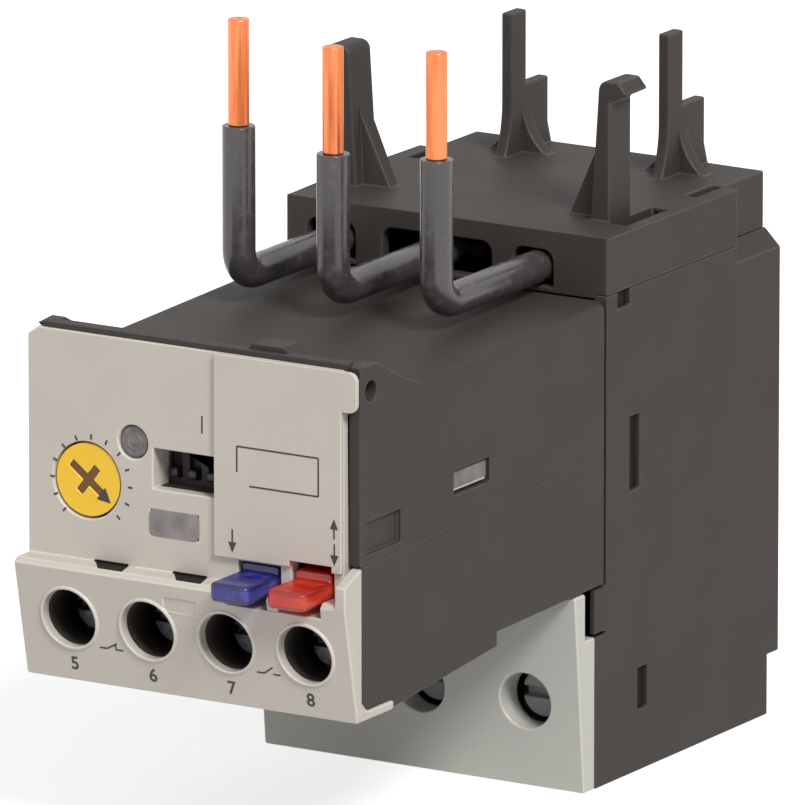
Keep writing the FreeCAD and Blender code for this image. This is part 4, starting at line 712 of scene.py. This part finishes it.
blocks = {
    # name: finish, slot, softness of the edges in mm, low and high corners of each block
    "sideTabs": ("tab", "grey_lens", 0.03, bothSides(((21.55, -22.55, 43.25), (21.68, -15.4, 45.2)))),
    # dark plates in the side slots: painted shade
    "slotBlinds": ("paintedShadeBlind", "black_plastic", 0.05, bothSides(
        ((20.9, 16.72, 34.52), (21.5, 18.98, 43.48)),
        ((20.9, 18.72, 7.42), (21.5, 20.98, 12.48)),
        ((20.9, 13.82, 57.12), (21.5, 16.68, 58.98)))),
    "tonguePlates": ("dark", "dark_plastic", 0.05, bothSides(((21.5, 8.6, 18.85), (22.08, 10.75, 24.15)))),
    "ledgeFills": ("light", "light_plastic", 0.01, alongLedge(
        [(-12.45, -44.81, 34.78), (-7.55, -43.1, 36.15)])),
    "settingSill": ("switchBody", "black_plastic", 0.03, [((-5.3, -43.3, 44.46), (3.15, -41.25, 44.58))]),
    # closes the slot over the reset lever, which only goes down
    "resetLip": ("light", "light_plastic", 0.02, [((6.1, -44.8, 37.56), (11.9, -43.05, 37.77))]),
    # the shell's front wall stands behind the label and shows above it as a narrow rim
    "shellRim": ("dark", "dark_plastic", 0.08, [
        ((-20.6, -44.5, 61.72), (20.7, -43.5, 62.45)),
        ((-20.3, -43.7, 61.9), (20.3, -42.45, 62.42)),
        ((-20.2, -42.98, 57.0), (20.2, -42.45, 62.3))]),
}
for name, (finish, slotName, softMm, ends) in blocks.items():
    newPiece(name, softBlocks(name, ends, finish, softMm), "case", slotName)

# the recess in the terminal wall is shallow and leans with the wall
recessFacts = {"ends": (-2.37, 1.92), "low": 30.86, "high": 32.62, "depth": 0.16, "back": -46.85}
recessOutline = [(wallY(z) + recessFacts["depth"], z) for z in (recessFacts["low"], recessFacts["high"])]
recessOutline += [(recessFacts["back"], recessFacts["high"]), (recessFacts["back"], recessFacts["low"])]

profiles = {
    # name: finish, slot, axis that it runs along, its two ends, outlines across that axis
    "recessFloor": ("light", "light_plastic", 0, recessFacts["ends"], [recessOutline]),
    "ledgeBridge": ("light", "light_plastic", 0, (11.88, 13.32), [
        [(-44.78, 33.0), (-47.74, 33.0), (-47.99, 34.2), (-47.4, 34.8), (-44.78, 34.8)]]),
    "bossCap": ("dark", "dark_plastic", 1, (-43.45, -39.7), [
        [(6.2, 61.9), (7.3, 63.0), (11.3, 63.0), (12.9, 61.9)]]),
    # dark plates in and behind the ledge slots: painted shade
    "ledgeSlots": ("paintedShadeBlind", "black_plastic", 2, (34.7, 34.84), alongLedge(
        [(-13.3, -44.82), (-8.8, -44.82), (-8.1, -47.35), (-11.4, -47.35)])),
    "ledgeSlotBacks": ("paintedShadeBlind", "black_plastic", 1, (-45.03, -44.72), alongLedge(
        [(-13.3, 34.7), (-8.8, 34.7), (-8.8, 35.05), (-13.3, 35.05)])),
}
for name, (finish, slotName, axis, ends, outlines) in profiles.items():
    profileCage = bmesh.new()
    for outline in outlines:
        deepen(profileCage, outline, *ends, axis=axis)
    newPiece(name, meshFrom(profileCage, name, finish), "case", slotName)
print("panel fittings made")


# Prints: thin closed plates of ink that sit on the faces

inkRule = {"thick": 0.03, "line": 0.2, "arrowHead": 1.25, "arrowHalf": 0.55}


def inkMesh(name, outlines, faceY):
    cage = bmesh.new()
    for outline in outlines:
        deepen(cage, outline, faceY - inkRule["thick"], faceY + inkRule["thick"] / 2)
    return meshFrom(cage, name, "ink")


def stroke(start, finish, width=inkRule["line"]):
    start, finish = Vector(start), Vector(finish)
    aside = (finish - start).normalized().orthogonal() * width / 2
    return [tuple(start + aside), tuple(start - aside), tuple(finish - aside), tuple(finish + aside)]


def arrow(x, tail, tip):
    back = tip + math.copysign(inkRule["arrowHead"], tail - tip)
    head = [(x - inkRule["arrowHalf"], back), (x + inkRule["arrowHalf"], back), (x, tip)]
    return [stroke((x, tail), (x, back)), head]


plateFacts = {
    "face": -45.4,
    # an open rectangle, drawn in one go
    "frame": [(6.35, 48.15), (6.35, 51.2), (17.35, 51.2), (17.35, 46.66), (8.05, 46.66)],
    # each arrow's x, tail and tip
    "arrows": [(5.72, 41.3, 38.5), (19.45, 41.9, 44.3), (19.5, 41.35, 38.75)],
}
plateMarks = [stroke(*ends) for ends in zip(plateFacts["frame"], plateFacts["frame"][1:])]
for facts in plateFacts["arrows"]:
    plateMarks += arrow(*facts)
newPiece("plateMarks", inkMesh("plateMarks", plateMarks, plateFacts["face"]), "case", "black_plastic")

labelFacts = {"face": -44.8, "dash": ((1.27, 51.9), (1.27, 54.0))}
dashMesh = inkMesh("labelDash", [stroke(*labelFacts["dash"])], labelFacts["face"])
newPiece("labelDash", dashMesh, "case", "black_plastic")

# the scale's printed ring lies a little right of the dial's own axis
scaleFacts = {"x": -13.84, "z": 44.25, "ticks": 13, "firstTurn": -136, "turn": 22.67,
              "inner": 5.0, "outer": 5.62, "width": 0.24}
tickStroke = stroke((0, scaleFacts["inner"]), (0, scaleFacts["outer"]), scaleFacts["width"])
tick = inkMesh("tick", [tickStroke], labelFacts["face"])
ticks = repeated("dialTicks", tick, "ink", scaleFacts["ticks"], (scaleFacts["x"], 0, scaleFacts["z"]),
                 firstTurn=scaleFacts["firstTurn"], turn=scaleFacts["turn"])
newPiece("dialTicks", ticks, "case", "black_plastic")

# the dial's arrow head is printed, and its cross slot is filled with brown painted shade
dialFacts = {"x": -14.45, "z": 44.3, "face": -44.55, "slotFloor": -43.96, "fill": -44.4, "rest": -38,
             "longArm": 2.93, "shortArm": 1.98, "halfWidth": 0.49,
             "head": [(2.25, -0.95), (3.95, 0), (2.25, 0.95)]}


def onDial(points):
    turn = math.radians(dialFacts["rest"])
    across, up = math.cos(turn), math.sin(turn)
    return [(dialFacts["x"] + x * across - z * up, dialFacts["z"] + x * up + z * across) for x, z in points]


arrowMesh = inkMesh("dialArrow", [onDial(dialFacts["head"])], dialFacts["face"])
newPiece("dialArrow", arrowMesh, "dial", "black_plastic")
longArm, shortArm, half = dialFacts["longArm"], dialFacts["shortArm"], dialFacts["halfWidth"]
cross = [(longArm, -half), (longArm, half), (half, half),
         (half, shortArm), (-half, shortArm), (-half, half)]
cross += [(-x, -z) for x, z in cross]
fillCage = bmesh.new()
deepen(fillCage, onDial(cross), dialFacts["fill"], dialFacts["slotFloor"])
newPiece("dialSlotShade", meshFrom(fillCage, "dialSlotShade", "slotShade"), "dial", "black_plastic")

# plain numbers and contact signs on the sloped wall under the holes
wallMarks = {"firstNumber": 5, "numberLevel": 22.4, "numberSize": 2.3, "numberWeight": 0.05,
             "numberThick": 0.018, "signLevel": 25.0, "closedX": -10.3, "openX": 11.1,
             "signReach": 1.6, "signGap": 0.6, "stopTop": 0.75, "closedTip": (0.8, 0.75),
             "openTip": (0.6, 0.85)}


def onWall(mesh, x, z):
    tilt = Matrix.Rotation(math.atan(-lean), 4, "X")
    mesh.transform(Matrix.Translation((x * mm, wallY(z) * mm, z * mm)) @ tilt)
    return mesh


def plainNumber(text):
    letter = bpy.data.curves.new("number", "FONT")
    letter.body = text
    letter.size = wallMarks["numberSize"] * mm
    letter.align_x = "CENTER"
    letter.align_y = "CENTER"
    letter.extrude = wallMarks["numberThick"] * mm
    letter.offset = wallMarks["numberWeight"] * mm
    written = looseObject("number" + text, letter)
    cage = bmesh.new()
    cage.from_mesh(evaluatedMesh(written))
    bpy.data.objects.remove(written)
    bmesh.ops.remove_doubles(cage, verts=cage.verts, dist=closeBy)
    bmesh.ops.rotate(cage, verts=cage.verts, cent=(0, 0, 0), matrix=Matrix.Rotation(math.pi / 2, 3, "X"))
    return meshFrom(cage, "number" + text, "ink")


for index in range(holeRow["count"]):
    text = str(wallMarks["firstNumber"] + index)
    mesh = onWall(plainNumber(text), holeX(index), wallMarks["numberLevel"])
    newPiece("terminalNumber" + text, mesh, "case", "black_plastic")

reach, gap = wallMarks["signReach"], wallMarks["signGap"]
signEnds = [stroke((-reach, 0), (-gap, 0)), stroke((gap, 0), (reach, 0))]
closedSign = signEnds + [stroke((-gap, 0), wallMarks["closedTip"]),
                         stroke((gap, 0), (gap, wallMarks["stopTop"]))]
openSign = signEnds + [stroke((-gap, 0), wallMarks["openTip"])]
for name, sign, x in (("closedContactSign", closedSign, wallMarks["closedX"]),
                      ("openContactSign", openSign, wallMarks["openX"])):
    newPiece(name, onWall(inkMesh(name, sign, 0), x, wallMarks["signLevel"]), "case", "black_plastic")
print("prints laid on")


# Camera at the photograph's angle

cameraFacts = {"place": (1.0134, -1.6606, 0.5289), "aim": (0.0027, -0.0034, 0.0470),
               "lensMm": 764, "sensorMm": 36}
cameraData = bpy.data.cameras.new("camera")
cameraData.lens = cameraFacts["lensMm"]
cameraData.sensor_width = cameraFacts["sensorMm"]
camera = looseObject("camera", cameraData)
camera.location = cameraFacts["place"]
view = Vector(cameraFacts["aim"]) - camera.location
camera.rotation_euler = view.to_track_quat("-Z", "Y").to_euler()
bpy.context.scene.camera = camera


# Studio: soft lamps, white surroundings and a pale floor that keeps the shadow

lamps = {
    # name: direction that the light comes from, strength, spread in degrees
    "keyRight": ((0.62, -0.38, 0.68), 2.3, 16),
    "frontFill": ((-0.1, -0.85, 0.5), 0.45, 70),
}
for name, (source, strength, spread) in lamps.items():
    lampData = bpy.data.lights.new(name, "SUN")
    lampData.energy = strength
    lampData.angle = math.radians(spread)
    lamp = looseObject(name, lampData)
    lamp.rotation_euler = (-Vector(source)).to_track_quat("-Z", "Y").to_euler()

# the camera and reflections see white, and the object gets a lower even light
worldFacts = {"ambient": 0.3, "seen": 1.0}
world = bpy.data.worlds.new("studio")
bpy.context.scene.world = world
world.use_nodes = True
worldTree = world.node_tree
worldTree.nodes.clear()
ray = addNode(worldTree, "ShaderNodeLightPath").outputs
seen = ray["Is Camera Ray"]
for name in ("Is Glossy Ray", "Is Transmission Ray"):
    either = addNode(worldTree, "ShaderNodeMath", {"operation": "MAXIMUM"}, {0: seen, 1: ray[name]})
    seen = either.outputs["Value"]
ambient = addNode(worldTree, "ShaderNodeMapRange", inputs={
    "Value": seen, "To Min": worldFacts["ambient"], "To Max": worldFacts["seen"]})
backdrop = addNode(worldTree, "ShaderNodeBackground", inputs={
    "Color": (1.0, 1.0, 1.0, 1.0), "Strength": ambient.outputs["Result"]})
addNode(worldTree, "ShaderNodeOutputWorld", inputs={"Surface": backdrop.outputs["Background"]})

floorFacts = {"halfWidth": 6.0, "dropMm": 0.05, "paper": 0.65, "seenGlow": 0.72}
floorCage = bmesh.new()
bmesh.ops.create_grid(floorCage, x_segments=1, y_segments=1, size=floorFacts["halfWidth"],
                      matrix=Matrix.Translation((0, 0, -floorFacts["dropMm"] * mm)))
floorMesh = bpy.data.meshes.new("floor")
floorCage.to_mesh(floorMesh)
floorCage.free()
floorPaint = bpy.data.materials.new("paperFloor")
floorPaint.use_nodes = True
floorTree = floorPaint.node_tree
floorTree.nodes.clear()
paper = addNode(floorTree, "ShaderNodeBsdfDiffuse", inputs={"Color": (floorFacts["paper"],) * 3 + (1.0,)})
floorRay = addNode(floorTree, "ShaderNodeLightPath").outputs
floorSeen = addNode(floorTree, "ShaderNodeMath", {"operation": "MAXIMUM"}, {
    0: floorRay["Is Camera Ray"], 1: floorRay["Is Glossy Ray"]})
glowLevel = addNode(floorTree, "ShaderNodeMath", {"operation": "MULTIPLY"}, {
    0: floorSeen.outputs["Value"], 1: floorFacts["seenGlow"]})
glow = addNode(floorTree, "ShaderNodeEmission", inputs={"Strength": glowLevel.outputs["Value"]})
lit = addNode(floorTree, "ShaderNodeAddShader", inputs={
    0: paper.outputs["BSDF"], 1: glow.outputs["Emission"]})
addNode(floorTree, "ShaderNodeOutputMaterial", inputs={"Surface": lit.outputs["Shader"]})
floorMesh.materials.append(floorPaint)
floor = looseObject("floor", floorMesh)
bpy.context.scene.view_settings.view_transform = "Standard"
print("studio ready")
